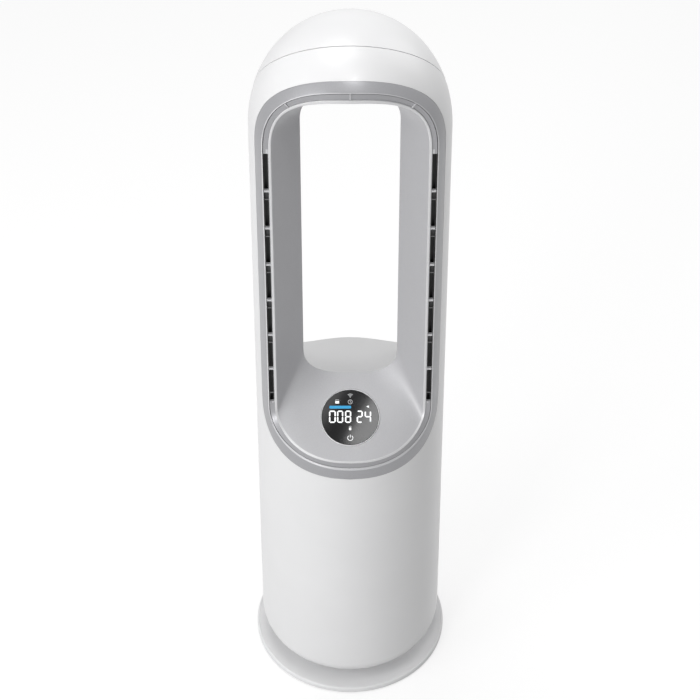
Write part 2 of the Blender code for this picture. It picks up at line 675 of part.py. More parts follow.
def gear_outline(teeth, backlash, start=0.0):
    """Outline of an external spur gear, with straight-sided teeth that thin towards the tip."""
    pitch = GEAR_MODULE * teeth / 2
    tip, root = pitch + GEAR_MODULE, pitch - 1.25 * GEAR_MODULE
    half = pi / (2 * teeth) - backlash / (2 * pitch)
    slope = 0.36 * GEAR_MODULE
    points = []
    for i in range(teeth):
        mid = start + 2 * pi * i / teeth
        root_half = half + slope * 1.15 / pitch
        tip_half = half - slope / pitch
        for r, a in ((root, -root_half), (tip, -tip_half), (tip, tip_half), (root, root_half)):
            points.append((r * cos(mid + a), r * sin(mid + a)))
    return points


ring_gear = place("ring_gear", prism("ring_gear", gear_outline(GEAR_TEETH, GEAR_BACKLASH),
                                     gear_z0, gear_z1), (NATURAL, 0.4))
boolean(ring_gear, cutter("ring_gear_bore", rod_mesh("ring_gear_bore", ring_in_r, gear_z0 - 0.01,
                                                     gear_z1 + 0.01, steps=36)))

pinion_axis = bpy.data.objects.new("pinion_axis", None)
parts.objects.link(pinion_axis)
pinion_axis.location = (pinion_x, 0, 0)
pinion_z0 = gear_z0 + GAP
pinion_z1 = pinion_z0 + PINION_FACE
pinion = place("drive_pinion", prism("drive_pinion",
                                     gear_outline(PINION_TEETH, GEAR_BACKLASH, pi + pi / PINION_TEETH),
                                     pinion_z0, pinion_z1), (NATURAL, 0.4))
boolean(pinion, cutter("pinion_shaft", rod_mesh("pinion_shaft", PINION_SHAFT_R, pinion_z1 - 0.002,
                                                bracket_z1)), "UNION")
pinion.parent = pinion_axis
bpy.data.objects["pinion_shaft"].location = (pinion_x, 0, 0)

turntable = turned("turntable", [(floor_r + TURN_FLANGE_W, turn_z1), (floor_r + TURN_FLANGE_W, turn_lap_z),
                     (floor_r - GAP, turn_lap_z), (floor_r - GAP, turn_z0), (turn_bore, turn_z0),
                     (turn_bore, turn_z1)], ((0.2, 0.2, 0.21), 0.55), 36)
hole_bm = bmesh.new()
for i in range(CHASSIS_SCREWS):
    p = at(CHASSIS_R - CHASSIS_T - 2 * SCREW_HEAD_R, CHASSIS_SCREW_AZ + 360 * i / CHASSIS_SCREWS)
    bmesh.ops.create_cone(hole_bm, cap_ends=True, segments=12, radius1=SCREW_R + GAP, radius2=SCREW_R + GAP,
                          depth=2 * (SCREW_BITE + GAP), matrix=Matrix.Translation((p.x, p.y, turn_z1)))
boolean(turntable, cutter("turntable_holes", to_mesh("turntable_holes", hole_bm)))

bracket_bm = bmesh.new()
leg_z0 = turn_z1 + GAP
bracket_x0 = pinion_x - BRACKET_IN
bracket_x1 = sqrt(drum_in_r ** 2 - (BRACKET_L / 2) ** 2) - BRACKET_CLEAR
box_into(bracket_bm, (bracket_x1 - bracket_x0, BRACKET_L, BRACKET_T),
         ((bracket_x0 + bracket_x1) / 2, 0, (bracket_z0 + bracket_z1) / 2))
bracket = place("stepper_bracket", to_mesh("stepper_bracket", bracket_bm), (STEEL, 0.4, 0.85))
legs_bm = bmesh.new()
for side in (-1, 1):
    box_into(legs_bm, (BRACKET_LEG_W, BRACKET_LEG_T, bracket_z1 - 0.3 * BRACKET_T - leg_z0),
             (bracket_x1 - BRACKET_LEG_W / 2 - GAP, side * (BRACKET_L / 2 - BRACKET_LEG_T / 2 - GAP),
              (bracket_z1 - 0.3 * BRACKET_T + leg_z0) / 2))
boolean(bracket, cutter("bracket_legs", to_mesh("bracket_legs", legs_bm)), "UNION")
boolean(bracket, cutter("bracket_hole", rod_mesh("bracket_hole", PINION_SHAFT_R + 2 * GAP,
                                                 bracket_z0 - 0.01, bracket_z1 + 0.01, pinion_x)))
place("swing_stepper", rod_mesh("swing_stepper", STEPPER_R, stepper_z0, stepper_z0 + STEPPER_H,
                                pinion_x, 0, 32), (STEEL, 0.35, 0.85))

# Tower skins

outer_line = skin_profile(0.0)
inner_line = skin_profile(SKIN_T)
skin_loop = outer_line + inner_line[::-1]


def seam_y(z):
    return SEAM_TOP_Y + SEAM_LEAN * (HEIGHT - z)


seam_bend_z = HEIGHT - (SEAM_Y - SEAM_TOP_Y) / SEAM_LEAN
over = HEIGHT + 0.05


def rear_region(name, step, low):
    """Everything behind the seam, as a block across the tower."""
    outline = [(SEAM_Y + step, low), (SEAM_Y + step, seam_bend_z), (seam_y(over) + step, over),
               (TOWER_R + 0.05, over), (TOWER_R + 0.05, low)]
    return cutter(name, prism(name, outline, -TOWER_R - 0.05, TOWER_R + 0.05, "X"))


def fan_block(name, az, low, high):
    """Everything behind two upright planes through the axis, as a wedge."""
    reach = 2 * TOWER_R
    outline = [(0.0, 0.0)] + [(at(reach, az + (360 - 2 * az) * i / 6).x,
                               at(reach, az + (360 - 2 * az) * i / 6).y) for i in range(7)]
    return prism(name, outline, low, high)


front_shell = turned("front_shell", skin_loop, (WHITE, 0.38))
boolean(front_shell, rear_region("behind_seam", 0.0, INTAKE_Z1 - 0.001))
boolean(front_shell, cutter("intake_opening", fan_block("intake_opening", INTAKE_AZ, INTAKE_Z0, INTAKE_Z1)))
boolean(front_shell, cutter("frame_opening", prism("frame_opening", grown(frame_out, 0.7 * GAP),
                                                   -TOWER_R - 0.05, 0.0, "Y")))

back_shell = turned("back_shell", skin_loop, (WHITE, 0.38))
boolean(back_shell, rear_region("back_region", GAP, INTAKE_Z1), "INTERSECT")
boolean(back_shell, cutter("rear_opening", prism("rear_opening", grown(rear_mouth, LINER_T + GAP),
                                                 0.0, TOWER_R + 0.05, "Y")))

# Frame: a face that follows the tower's surface, and a flange straight back from its inner edge

frame_loops = []
for p, q in zip(frame_out, frame_in):
    root = between(p, q, FRAME_FLANGE_SHARE)
    root_y = face_y(root) + FRAME_T
    frame_loops.append([on_skin(*p, 0.3 * FRAME_T), on_skin(*towards(p, q, 0.3 * FRAME_T), 0.0),
                        on_skin(*towards(q, p, 0.3 * FRAME_T), 0.0), behind(q, q, FRAME_RIM),
                        behind(q, q, FRAME_RETURN), behind(q, root, FRAME_RETURN),
                        Vector((root[0], root_y, root[1])), on_skin(*p, FRAME_T)])
place("outer_frame", ring_loft("outer_frame", frame_loops), (SILVER, 0.34, 0.35))

# Outlet groove: a ring that faces the front, with slots at its sides

groove_back = GROOVE_D + GROOVE_T
ring_loops = []
for p, q in zip(frame_in, lip_out):
    outer, inner = towards(p, q, GROOVE_FIT), towards(q, p, GROOVE_FIT)
    ring_loops.append([behind(p, outer, GROOVE_D), behind(p, inner, GROOVE_D),
                       behind(p, inner, groove_back), behind(p, outer, groove_back)])
vent_ring = place("vent_ring", ring_loft("vent_ring", ring_loops), (SILVER, 0.4, 0.3))

side_y = face_y((groove_half_w, SLOT_Z0))
slot_x = groove_half_w - GROOVE_X / 2
slot_w = GROOVE_X - 2 * GROOVE_FIT - 2 * SLOT_RIM


nozzle_z0 = SLOT_Z0 - NOZZLE_END
nozzle_z1 = slots_top + NOZZLE_END
nozzle_y0 = face_y((groove_half_w, nozzle_z1)) + groove_back + GAP
slot_reach = 2 * (nozzle_y0 + 2 * NOZZLE_D - side_y)


def slot_blocks(bm, side, width, margin, corner):
    """Blocks through the groove's side, one for each slot and smaller than it by a margin at each end."""
    for i in range(SLOT_COUNT):
        length = slot_l - 2 * margin
        made = box_into(bm, (width, slot_reach, length),
                        (side * slot_x, side_y, SLOT_Z0 + i * slot_pitch + slot_l / 2))
        edges = {e for v in made["verts"] for e in v.link_edges
                 if abs((e.verts[1].co - e.verts[0].co).normalized().y) > 0.99}
        if corner:
            bmesh.ops.bevel(bm, geom=list(edges), offset=corner, segments=2, affect="EDGES", profile=0.5)


slots_bm = bmesh.new()
for side in (-1, 1):
    slot_blocks(slots_bm, side, slot_w, 0.0, SLOT_CORNER)
boolean(vent_ring, cutter("outlet_slots", to_mesh("outlet_slots", slots_bm)))

# Three ribs cross the closed part of the groove at its top
rib_bm = bmesh.new()
for share in RIB_SHARES:
    index = CURVE_STEPS + SIDE_STEPS + int(round(CURVE_STEPS * share))
    p, q = frame_in[index], lip_out[index]
    outer, inner = towards(p, q, 1.5 * GROOVE_FIT), towards(q, p, 1.5 * GROOVE_FIT)
    low_z = GROOVE_D + 0.5 * GROOVE_T
    side_view = [behind(p, outer, low_z), behind(p, inner, low_z), behind(p, inner, RIB_SINK),
                 behind(p, outer, RIB_SINK)]
    along = Vector((q[1] - p[1], 0.0, p[0] - q[0])).normalized() * RIB_W / 2
    first = [rib_bm.verts.new(v - along) for v in side_view]
    last = [rib_bm.verts.new(v + along) for v in side_view]
    rib_bm.faces.new(first)
    rib_bm.faces.new(last[::-1])
    for k in range(4):
        rib_bm.faces.new((first[k], first[(k + 1) % 4], last[(k + 1) % 4], last[k]))
boolean(vent_ring, cutter("groove_ribs", to_mesh("groove_ribs", rib_bm)), "UNION")

# Liner: from the lip beside the groove to the throat
throat_out = grown(throat, LINER_T)
liner_loops = []
for edge, lip, m, t, t2 in zip(frame_in, lip_out, mouth, throat, throat_out):
    liner_loops.append([behind(edge, lip, LIP_SINK), behind(edge, m, LIP_SINK), Vector((t[0], THROAT_Y, t[1])),
                        Vector((t2[0], THROAT_Y, t2[1])), behind(edge, lip, LIP_BACK)])
tunnel_liner = ring_loft("tunnel_liner", liner_loops)
tunnel_liner = place("tunnel_liner", tunnel_liner, (LINER_GREY, 0.36, 0.25), sharp=40)

# Rear tunnel: from just behind the throat to the back of the tower
rear_rim = grown(rear_mouth, LINER_T)
rear_start = grown(throat, REAR_STEP)
rear_start_out = grown(throat, REAR_STEP + LINER_T)
rear_y = THROAT_Y + GAP
rear_loops = []
for t, t2, m, m2 in zip(rear_start, rear_start_out, rear_mouth, rear_rim):
    rear_loops.append([Vector((t[0], rear_y, t[1])), on_skin(*m, LIP_SINK, 1.0), on_skin(*m2, LIP_SINK, 1.0),
                       on_skin(*m2, REAR_LAP, 1.0), Vector((t2[0], rear_y, t2[1]))])
place("rear_tunnel", ring_loft("rear_tunnel", rear_loops), (WHITE, 0.4), sharp=40)

# Round display, set square to the tunnel's sloping floor
slope = atan2(THROAT_Z0 - mouth_z0, THROAT_Y + TOWER_R)
display_z = mouth_z0 + (DISPLAY_Y + TOWER_R) * (THROAT_Z0 - mouth_z0) / (THROAT_Y + TOWER_R)
display_frame = bpy.data.objects.new("display_frame", None)
parts.objects.link(display_frame)
display_frame.location = (0, DISPLAY_Y, display_z)
display_frame.rotation_euler = (slope, 0, 0)
display_cut = cutter("display_opening", rod_mesh("display_opening", DISPLAY_R + GAP, -0.010, 0.014, steps=48))
display_cut.parent = display_frame
boolean(tunnel_liner, display_cut)
glass_r = DISPLAY_R - DISPLAY_RING_W
ring = turned("display_ring", [(DISPLAY_R, DISPLAY_PROUD), (DISPLAY_R, DISPLAY_PROUD - DISPLAY_RING_T),
                               (glass_r, DISPLAY_PROUD - DISPLAY_RING_T), (glass_r, DISPLAY_PROUD)],
              (SILVER, 0.25, 0.7), 48)
ring.parent = display_frame
glass = place("display_glass", rod_mesh("display_glass", glass_r - GAP, -DISPLAY_T, 0.0, steps=48),
              ((0.008, 0.008, 0.009), 0.08))
glass.parent = display_frame
cup_in_r = DISPLAY_R + GAP


def liner_wall(y):
    """Upright thickness of the tunnel's floor on the centre line."""
    inside = mouth_z0 + (y + TOWER_R) * (THROAT_Z0 - mouth_z0) / (THROAT_Y + TOWER_R)
    under = (lip_z0 + (y + TOWER_R - LIP_BACK) * (THROAT_Z0 - LINER_T - lip_z0)
             / (THROAT_Y + TOWER_R - LIP_BACK))
    return inside - under


cup_front = DISPLAY_Y - (cup_in_r + DISPLAY_CUP_T) * cos(slope)
cup_top = -liner_wall(cup_front) * cos(slope) - CUP_CLEAR
cup_profile = [(0.0, cup_top - DISPLAY_CUP_H + DISPLAY_CUP_T),
               (cup_in_r, cup_top - DISPLAY_CUP_H + DISPLAY_CUP_T),
               (cup_in_r, cup_top), (cup_in_r + DISPLAY_CUP_T, cup_top),
               (cup_in_r + DISPLAY_CUP_T, cup_top - DISPLAY_CUP_H), (0.0, cup_top - DISPLAY_CUP_H)]
cup = turned("display_cup", cup_profile, (DARK, 0.6), 28)
cup.parent = display_frame
board_top = min(-DISPLAY_T, DISPLAY_PROUD - DISPLAY_RING_T) - GAP
board = place("display_board", rod_mesh("display_board", cup_in_r - GAP, board_top - DISPLAY_BOARD_T,
                                        board_top, steps=28), (GREEN, 0.5))
board.parent = display_frame

# Dark channels behind the slots
for side, word in ((-1, "left"), (1, "right")):
    name = "outlet_channel_" + word
    channel = place(name, box_mesh(name, (slot_w, NOZZLE_D, nozzle_z1 - nozzle_z0),
                                   (side * slot_x, nozzle_y0 + NOZZLE_D / 2, (nozzle_z0 + nozzle_z1) / 2)),
                    (DARK, 0.7))
    bm = bmesh.new()
    slot_blocks(bm, side, slot_w - 2 * NOZZLE_WALL, NOZZLE_WALL, 0.0)
    boolean(channel, cutter(name + "_holes", to_mesh(name + "_holes", bm)))

# Rising ducts, one on each side of the tunnel


def duct_outline(shrink, side):
    """Crescent between the tunnel's side walls and the skin, seen from above."""
    clear = LINER_T + DUCT_CLEAR + shrink
    front = Vector((mouth_half_w, side_y))
    apex0 = Vector((THROAT_HALF_W + REAR_STEP, THROAT_Y))
    back = Vector((REAR_HALF_W, on_skin(REAR_HALF_W, dome_z, 0, 1.0).y))
    dir_f = (front - apex0).normalized()
    dir_b = (back - apex0).normalized()
    off_f = Vector((-dir_f.y, dir_f.x)) * clear
    off_b = Vector((dir_b.y, -dir_b.x)) * clear
    base_f, base_b = apex0 + off_f, apex0 + off_b
    # Where the two moved lines cross
    det = dir_f.x * -dir_b.y + dir_b.x * dir_f.y
    rel = base_b - base_f
    s = (rel.x * -dir_b.y + dir_b.x * rel.y) / det
    apex = base_f + dir_f * s
    radius = DUCT_R - shrink

    def reach(direction):
        b = apex.dot(direction)
        return -b + sqrt(b * b + radius * radius - apex.dot(apex))

    p_f, p_b = apex + dir_f * reach(dir_f), apex + dir_b * reach(dir_b)
    az_f = degrees(atan2(p_f.x, -p_f.y))
    az_b = degrees(atan2(p_b.x, -p_b.y))
    points = [(side * apex.x, apex.y)]
    for i in range(DUCT_STEPS + 1):
        p = at(radius, az_f + (az_b - az_f) * i / DUCT_STEPS)
        points.append((side * p.x, p.y))
    return points, az_f


openings = []
for side, word in ((-1, "left"), (1, "right")):
    outer, az_f = duct_outline(0.0, side)
    inner, _ = duct_outline(DUCT_T, side)
    name = "air_duct_" + word
    duct = place(name, prism(name, outer, duct_z0, DUCT_TOP), (NATURAL, 0.5))
    hollow = cutter(name + "_bore", prism(name + "_bore", inner, duct_z0 - 0.02, DUCT_TOP - DUCT_T))
    boolean(duct, hollow)
    mouth_bm = bmesh.new()
    mouth_az = side * (az_f + DUCT_SLOT_START + DUCT_SLOT_AZ / 2)
    box_into(mouth_bm, (DUCT_R * radians(DUCT_SLOT_AZ), 4 * DUCT_T, slots_top - SLOT_Z0 - 2 * DUCT_SLOT_END),
             at(DUCT_R, mouth_az, (SLOT_Z0 + slots_top) / 2), mouth_az)
    boolean(duct, cutter(name + "_mouth", to_mesh(name + "_mouth", mouth_bm)))
    openings.append(prism("lid_opening_" + word, inner, cover_z0 - 0.01, cover_z1 + 0.01))

# Rear intake cover: a bent sheet with slots, opened by hand to the back

cover_az = INTAKE_AZ + degrees(GAP / TOWER_R)
grid_bm = bmesh.new()
columns = 2 * GRILLE_COLUMNS + 1
row_lines = [INTAKE_Z0 + GAP, INTAKE_Z0 + GAP + GRILLE_EDGE]
row_h = (INTAKE_Z1 - INTAKE_Z0 - 2 * GAP - 2 * GRILLE_EDGE - (GRILLE_ROWS - 1) * GRILLE_BAR) / GRILLE_ROWS
for i in range(GRILLE_ROWS):
    row_lines.append(row_lines[-1] + row_h)
    row_lines.append(row_lines[-1] + (GRILLE_BAR if i < GRILLE_ROWS - 1 else GRILLE_EDGE))
bmesh.ops.create_grid(grid_bm, x_segments=columns, y_segments=len(row_lines) - 1, size=0.5)
xs = sorted({round(v.co.x, 5) for v in grid_bm.verts})
zs = sorted({round(v.co.y, 5) for v in grid_bm.verts})
for face in list(grid_bm.faces):
    mid = face.calc_center_median()
    col = sum(1 for x in xs if x < mid.x) - 1
    row = sum(1 for z in zs if z < mid.y) - 1
    near_grip = abs(col - GRILLE_COLUMNS) <= 2 and row >= len(row_lines) - 3
    face.tag = col % 2 == 1 and row % 2 == 1 and not near_grip
bmesh.ops.delete(grid_bm, geom=[f for f in grid_bm.faces if f.tag], context="FACES")
for v in grid_bm.verts:
    share = (v.co.x + 0.5)
    line = min(range(len(zs)), key=lambda k: abs(zs[k] - v.co.y))
    v.co = at(TOWER_R, cover_az + (360 - 2 * cover_az) * share, row_lines[line])
cover_mesh = bpy.data.meshes.new("intake_cover")
grid_bm.to_mesh(cover_mesh)
grid_bm.free()
intake_cover = place("intake_cover", cover_mesh, (WHITE, 0.4))
shell = intake_cover.modifiers.new("wall", "SOLIDIFY")
shell.thickness = SKIN_T
shell.offset = -1.0
shell.use_even_offset = True

grip_bm = bmesh.new()
grip_z = INTAKE_Z1 - GAP - GRILLE_EDGE / 2 - GRIP_H / 2
box_into(grip_bm, (GRIP_W, GRIP_D, GRIP_H), (0, TOWER_R + GAP + GRIP_D / 2, grip_z))
grip = place("cover_grip", to_mesh("cover_grip", grip_bm), (WHITE, 0.4))
soft = grip.modifiers.new("round", "BEVEL")
soft.width = 0.3 * GRIP_D
soft.segments = 2

# Filter bay

bay = place("filter_bay", prism("filter_bay", sector(BAY_R, BAY_FLANGE_R, BAY_AZ, 360 - BAY_AZ, 26),
                                bay_z0, bay_z1), ((0.6, 0.6, 0.6), 0.5))
bay_room = sector(BAY_R + BAY_WALL_T, BAY_FLANGE_R + 0.02, BAY_AZ + BAY_END_T, 360 - BAY_AZ - BAY_END_T, 26)
boolean(bay, cutter("bay_room", prism("bay_room", bay_room, bay_z0 + BAY_FLANGE_T, bay_z1 - BAY_FLANGE_T)))
windows_bm = bmesh.new()
window_h = bay_z1 - bay_z0 - 2 * BAY_FLANGE_T - 2 * BAY_WINDOW_EDGE
for i in range(BAY_WINDOWS):
    az = 180 + (i - (BAY_WINDOWS - 1) / 2) * BAY_WINDOW_STEP
    box_into(windows_bm, (BAY_WINDOW_W, 4 * BAY_WALL_T, window_h),
             at(BAY_R + BAY_WALL_T / 2, az, (bay_z0 + bay_z1) / 2), az)
boolean(bay, cutter("bay_windows", to_mesh("bay_windows", windows_bm)))

filter_r0 = BAY_R + BAY_WALL_T + FILTER_CLEAR
filter_z0 = bay_z0 + BAY_FLANGE_T + GAP
filter_z1 = bay_z1 - BAY_FLANGE_T - GAP
cartridge = place("filter_cartridge", prism("filter_cartridge",
                                            sector(filter_r0, FILTER_R, FILTER_AZ, 360 - FILTER_AZ, 24),
                                            filter_z0, filter_z1), ((0.3, 0.3, 0.31), 0.6))
boolean(cartridge, cutter("filter_room", prism("filter_room", sector(filter_r0 - 0.01, FILTER_R + 0.01,
                                                                   FILTER_AZ + FILTER_END,
                                                                   360 - FILTER_AZ - FILTER_END, 24),
                                               filter_z0 + FILTER_CAP_T, filter_z1 - FILTER_CAP_T)))
pleat_r0, pleat_r1 = filter_r0 + PLEAT_CLEAR, FILTER_R - PLEAT_CLEAR
pleat_az0 = FILTER_AZ + FILTER_END + degrees((PLEAT_T + GAP) / pleat_r0)
pleat_step = (360 - 2 * pleat_az0) / (2 * PLEATS)
front_line, back_line = [], []
for i in range(2 * PLEATS + 1):
    r = pleat_r1 if i % 2 else pleat_r0
    az = pleat_az0 + pleat_step * i
    a = at(r, az)
    b = at(r - PLEAT_SHEET * PLEAT_T, az)
    front_line.append((a.x, a.y))
    back_line.append((b.x, b.y))
place("filter_pleats", prism("filter_pleats", front_line + back_line[::-1], filter_z0 + FILTER_CAP_T + GAP,
                             filter_z1 - FILTER_CAP_T - GAP), (FLEECE, 0.9))
tab_y = FILTER_R + GAP
place("filter_tab", box_mesh("filter_tab", (TAB_W, TAB_T, TAB_L),
                             (0, tab_y + TAB_T / 2, filter_z1 - TAB_L / 2)), ((0.1, 0.35, 0.6), 0.8))

# Chassis, deck and fan

chassis_z0 = turn_z1 + GAP
chassis_z1 = bay_z0 - GAP
chassis = turned("chassis_drum", [(CHASSIS_R, chassis_z1), (CHASSIS_R, chassis_z0),
                                  (CHASSIS_R - CHASSIS_T, chassis_z0), (CHASSIS_R - CHASSIS_T, chassis_z1)],
                 ((0.3, 0.3, 0.31), 0.5), DRUM_STEPS)
windows_bm = bmesh.new()
for i in range(CHASSIS_WINDOWS):
    az = 360 * i / CHASSIS_WINDOWS
    box_into(windows_bm, (CHASSIS_WINDOW_W, 8 * CHASSIS_T, (chassis_z1 - chassis_z0) * CHASSIS_WINDOW_SHARE),
             at(CHASSIS_R, az, (chassis_z0 + chassis_z1) / 2), az)
boolean(chassis, cutter("chassis_windows", to_mesh("chassis_windows", windows_bm)))

turned("inlet_deck", [(DECK_R, deck_z1), (DECK_R, deck_z0), (INLET_R, deck_z0), (INLET_R, deck_z1 + INLET_LIP),
                      (INLET_R + INLET_LIP_T, deck_z1 + INLET_LIP), (INLET_R + INLET_LIP_T, deck_z1)],
       ((0.35, 0.35, 0.36), 0.5), 32)
turned("fan_housing", [(HOUSING_FLANGE_R, HOUSING_TOP), (HOUSING_FLANGE_R, HOUSING_TOP - HOUSING_FLANGE_T),
                       (HOUSING_R, HOUSING_TOP - HOUSING_FLANGE_T), (HOUSING_R, housing_z0),
                       (housing_in_r, housing_z0), (housing_in_r, HOUSING_TOP)],
       ((0.35, 0.35, 0.36), 0.5), FAN_STEPS)
lid = place("housing_lid", rod_mesh("housing_lid", HOUSING_FLANGE_R, cover_z0, cover_z1, steps=FAN_STEPS),
            ((0.35, 0.35, 0.36), 0.5))
for mesh in openings:
    boolean(lid, cutter(mesh.name, mesh))

# Impeller on its shaft
tip_r = housing_in_r - IMPELLER_TIP_GAP
hub_lines = [(IMPELLER_HUB_R1, impeller_z1), (IMPELLER_HUB_R1, impeller_z1 - HUB_EDGE)]
for i in range(1, 5):
    share = i / 4
    hub_lines.append((IMPELLER_HUB_R1 + (IMPELLER_HUB_R0 - IMPELLER_HUB_R1) * sin(share * pi / 2),
                      impeller_z1 - HUB_EDGE - (IMPELLER_H - HUB_EDGE) * share))
hub_lines += [(SHAFT_R + GAP, impeller_z0), (SHAFT_R + GAP, impeller_z1)]
impeller = turned("impeller", hub_lines, ((0.05, 0.05, 0.055), 0.45), 27)


def blade_sheet(bm, start_az, r_low, r_high, z_low, z_high, twist, lean, nu=5, nv=2):
    """One curved blade sheet. r_low and z_low may change over the blade's height and reach."""
    grid = []
    for i in range(nu + 1):
        line = []
        u = i / nu
        for k in range(nv + 1):
            v = k / nv
            r = r_low(v) + (r_high(v) - r_low(v)) * u
            az = start_az + twist * u + lean * v * (1 - 0.4 * u)
            line.append(bm.verts.new(at(r, az, z_low(u) + (z_high(u) - z_low(u)) * v)))
        grid.append(line)
    for i in range(nu):
        for k in range(nv):
            bm.faces.new((grid[i][k], grid[i + 1][k], grid[i + 1][k + 1], grid[i][k + 1]))


def solid_sheets(name, bm, thickness):
    """Gives open sheets a wall and returns the mesh."""
    bmesh.ops.recalc_face_normals(bm, faces=bm.faces)
    faces = list(bm.faces)
    bmesh.ops.solidify(bm, geom=faces, thickness=thickness)
    return to_mesh(name, bm)


bm = bmesh.new()
for i in range(BLADES):
    blade_sheet(bm, 360 * i / BLADES,
                lambda v: IMPELLER_HUB_R0 - BLADE_ROOT + v * (IMPELLER_HUB_R1 - IMPELLER_HUB_R0) * 0.85,
                lambda v: tip_r * (0.74 + 0.26 * v ** 0.7),
                lambda u: impeller_z0 + BLADE_LIFT + BLADE_RISE * u,
                lambda u: impeller_z1 - BLADE_BELOW, BLADE_TWIST, BLADE_LEAN)
boolean(impeller, cutter("impeller_blades", solid_sheets("impeller_blades", bm, BLADE_T)), "UNION")
place("impeller_shaft", rod_mesh("impeller_shaft", SHAFT_R, impeller_z0 - SHAFT_END, motor_z0 - GAP, steps=16),
      (STEEL, 0.25, 1.0))

place("fan_motor", rod_mesh("fan_motor", MOTOR_R, motor_z0, motor_z1, steps=28), (STEEL, 0.35, 0.85))
mount_z0 = motor_z0 + (MOTOR_H - VANE_H) / 2
mount_z1 = mount_z0 + VANE_H
ring_r0 = MOTOR_R + GAP
mount = turned("motor_mount", [(ring_r0 + MOTOR_RING_T, mount_z1), (ring_r0 + MOTOR_RING_T, mount_z0),
                               (ring_r0, mount_z0), (ring_r0, mount_z1)], ((0.35, 0.35, 0.36), 0.5), 28)
bm = bmesh.new()
vane_r1 = housing_in_r * cos(pi / FAN_STEPS) - GAP
for i in range(VANES):
    blade_sheet(bm, 360 * i / VANES, lambda v: ring_r0 + 0.4 * MOTOR_RING_T, lambda v: vane_r1,
                lambda u: mount_z0 + 0.001, lambda u: mount_z1 - 0.001, -8.0, -22.0, 2, 2)
boolean(mount, cutter("mount_vanes", solid_sheets("mount_vanes", bm, VANE_T)), "UNION")

# Electronics in the chassis drum

board_z0 = turn_z1 + BOARD_LIFT
board_w = 2 * sqrt(drum_in_r ** 2 - (abs(BOARD_Y) + BOARD_T / 2) ** 2) - 2 * GAP
main_board = place("main_board", box_mesh("main_board", (board_w, BOARD_T, BOARD_H),
                                          (0, BOARD_Y, board_z0 + BOARD_H / 2)), (GREEN, 0.5))
bits_y = BOARD_Y + BOARD_T / 2 + GAP
for word, (x, z, w, h, d) in (("relay", RELAY), ("chip", CHIP), ("capacitor", CAPACITOR)):
    block = box_mesh("board_" + word, (w, d, h), (x, bits_y + d / 2, board_z0 + z))
    place("board_" + word, block, (DARK, 0.5))
supply_y = sqrt(drum_in_r ** 2 - (SUPPLY_W / 2) ** 2) - GAP - SUPPLY_D / 2
place("power_supply", box_mesh("power_supply", (SUPPLY_W, SUPPLY_D, SUPPLY_H),
                               (0, supply_y, board_z0 + SUPPLY_H / 2)), ((0.4, 0.41, 0.42), 0.5, 0.4))
sensor_low_r = BAY_R + SENSOR_D / 2
sensor_az = BAY_AZ - degrees(atan2(SENSOR_W / 2, sensor_low_r)) - degrees(GAP / sensor_low_r)
place("particle_sensor", box_mesh("particle_sensor", (SENSOR_W, SENSOR_D, SENSOR_H),
                                  at(sensor_low_r + SENSOR_D / 2, sensor_az, INTAKE_Z0 + SENSOR_H), sensor_az),
      (DARK, 0.5))
for i in range(CHASSIS_SCREWS):
    p = at(CHASSIS_R - CHASSIS_T - 2 * SCREW_HEAD_R, CHASSIS_SCREW_AZ + 360 * i / CHASSIS_SCREWS)
    screw("chassis_screw_%d" % (i + 1), p.x, p.y, (turn_z1 + GAP + SCREW_HEAD_H, turn_z1 + GAP),
          turn_z1 - SCREW_BITE, (STEEL, 0.3, 0.9))
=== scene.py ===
"""Looks of the tower air purifier fan: fine surfaces, materials, lit display, light and camera.
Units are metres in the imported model's frame: +Z is up and the front faces -Y."""
import bpy
import bmesh
from math import sin, cos, asin, pi, radians, degrees, sqrt, atan2
from mathutils import Matrix, Vector


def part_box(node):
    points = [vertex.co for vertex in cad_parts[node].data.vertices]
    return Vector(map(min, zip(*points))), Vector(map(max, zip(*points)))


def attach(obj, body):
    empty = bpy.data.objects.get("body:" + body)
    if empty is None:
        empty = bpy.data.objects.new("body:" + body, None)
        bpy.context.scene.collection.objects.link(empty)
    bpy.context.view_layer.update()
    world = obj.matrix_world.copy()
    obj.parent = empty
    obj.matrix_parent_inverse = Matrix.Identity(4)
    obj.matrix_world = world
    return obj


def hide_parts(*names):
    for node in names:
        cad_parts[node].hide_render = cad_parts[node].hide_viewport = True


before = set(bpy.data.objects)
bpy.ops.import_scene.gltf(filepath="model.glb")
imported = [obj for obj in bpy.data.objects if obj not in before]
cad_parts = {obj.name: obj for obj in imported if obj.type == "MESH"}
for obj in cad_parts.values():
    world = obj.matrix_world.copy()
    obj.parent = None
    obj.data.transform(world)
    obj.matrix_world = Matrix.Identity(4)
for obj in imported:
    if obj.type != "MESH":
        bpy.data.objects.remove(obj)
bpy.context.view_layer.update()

# Sizes that come from the frame

shell_lo, shell_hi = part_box("front_shell")
TOWER_R = shell_hi.x
TOWER_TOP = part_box("back_shell")[1].z
FLOOR_Z = shell_lo.z
BASE_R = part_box("base_plate")[1].x
COVER_Z0, COVER_Z1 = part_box("intake_cover")[0].z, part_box("intake_cover")[1].z
DISPLAY_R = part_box("display_ring")[1].x
GLASS_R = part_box("display_glass")[1].x

# Sizes of the fine surfaces

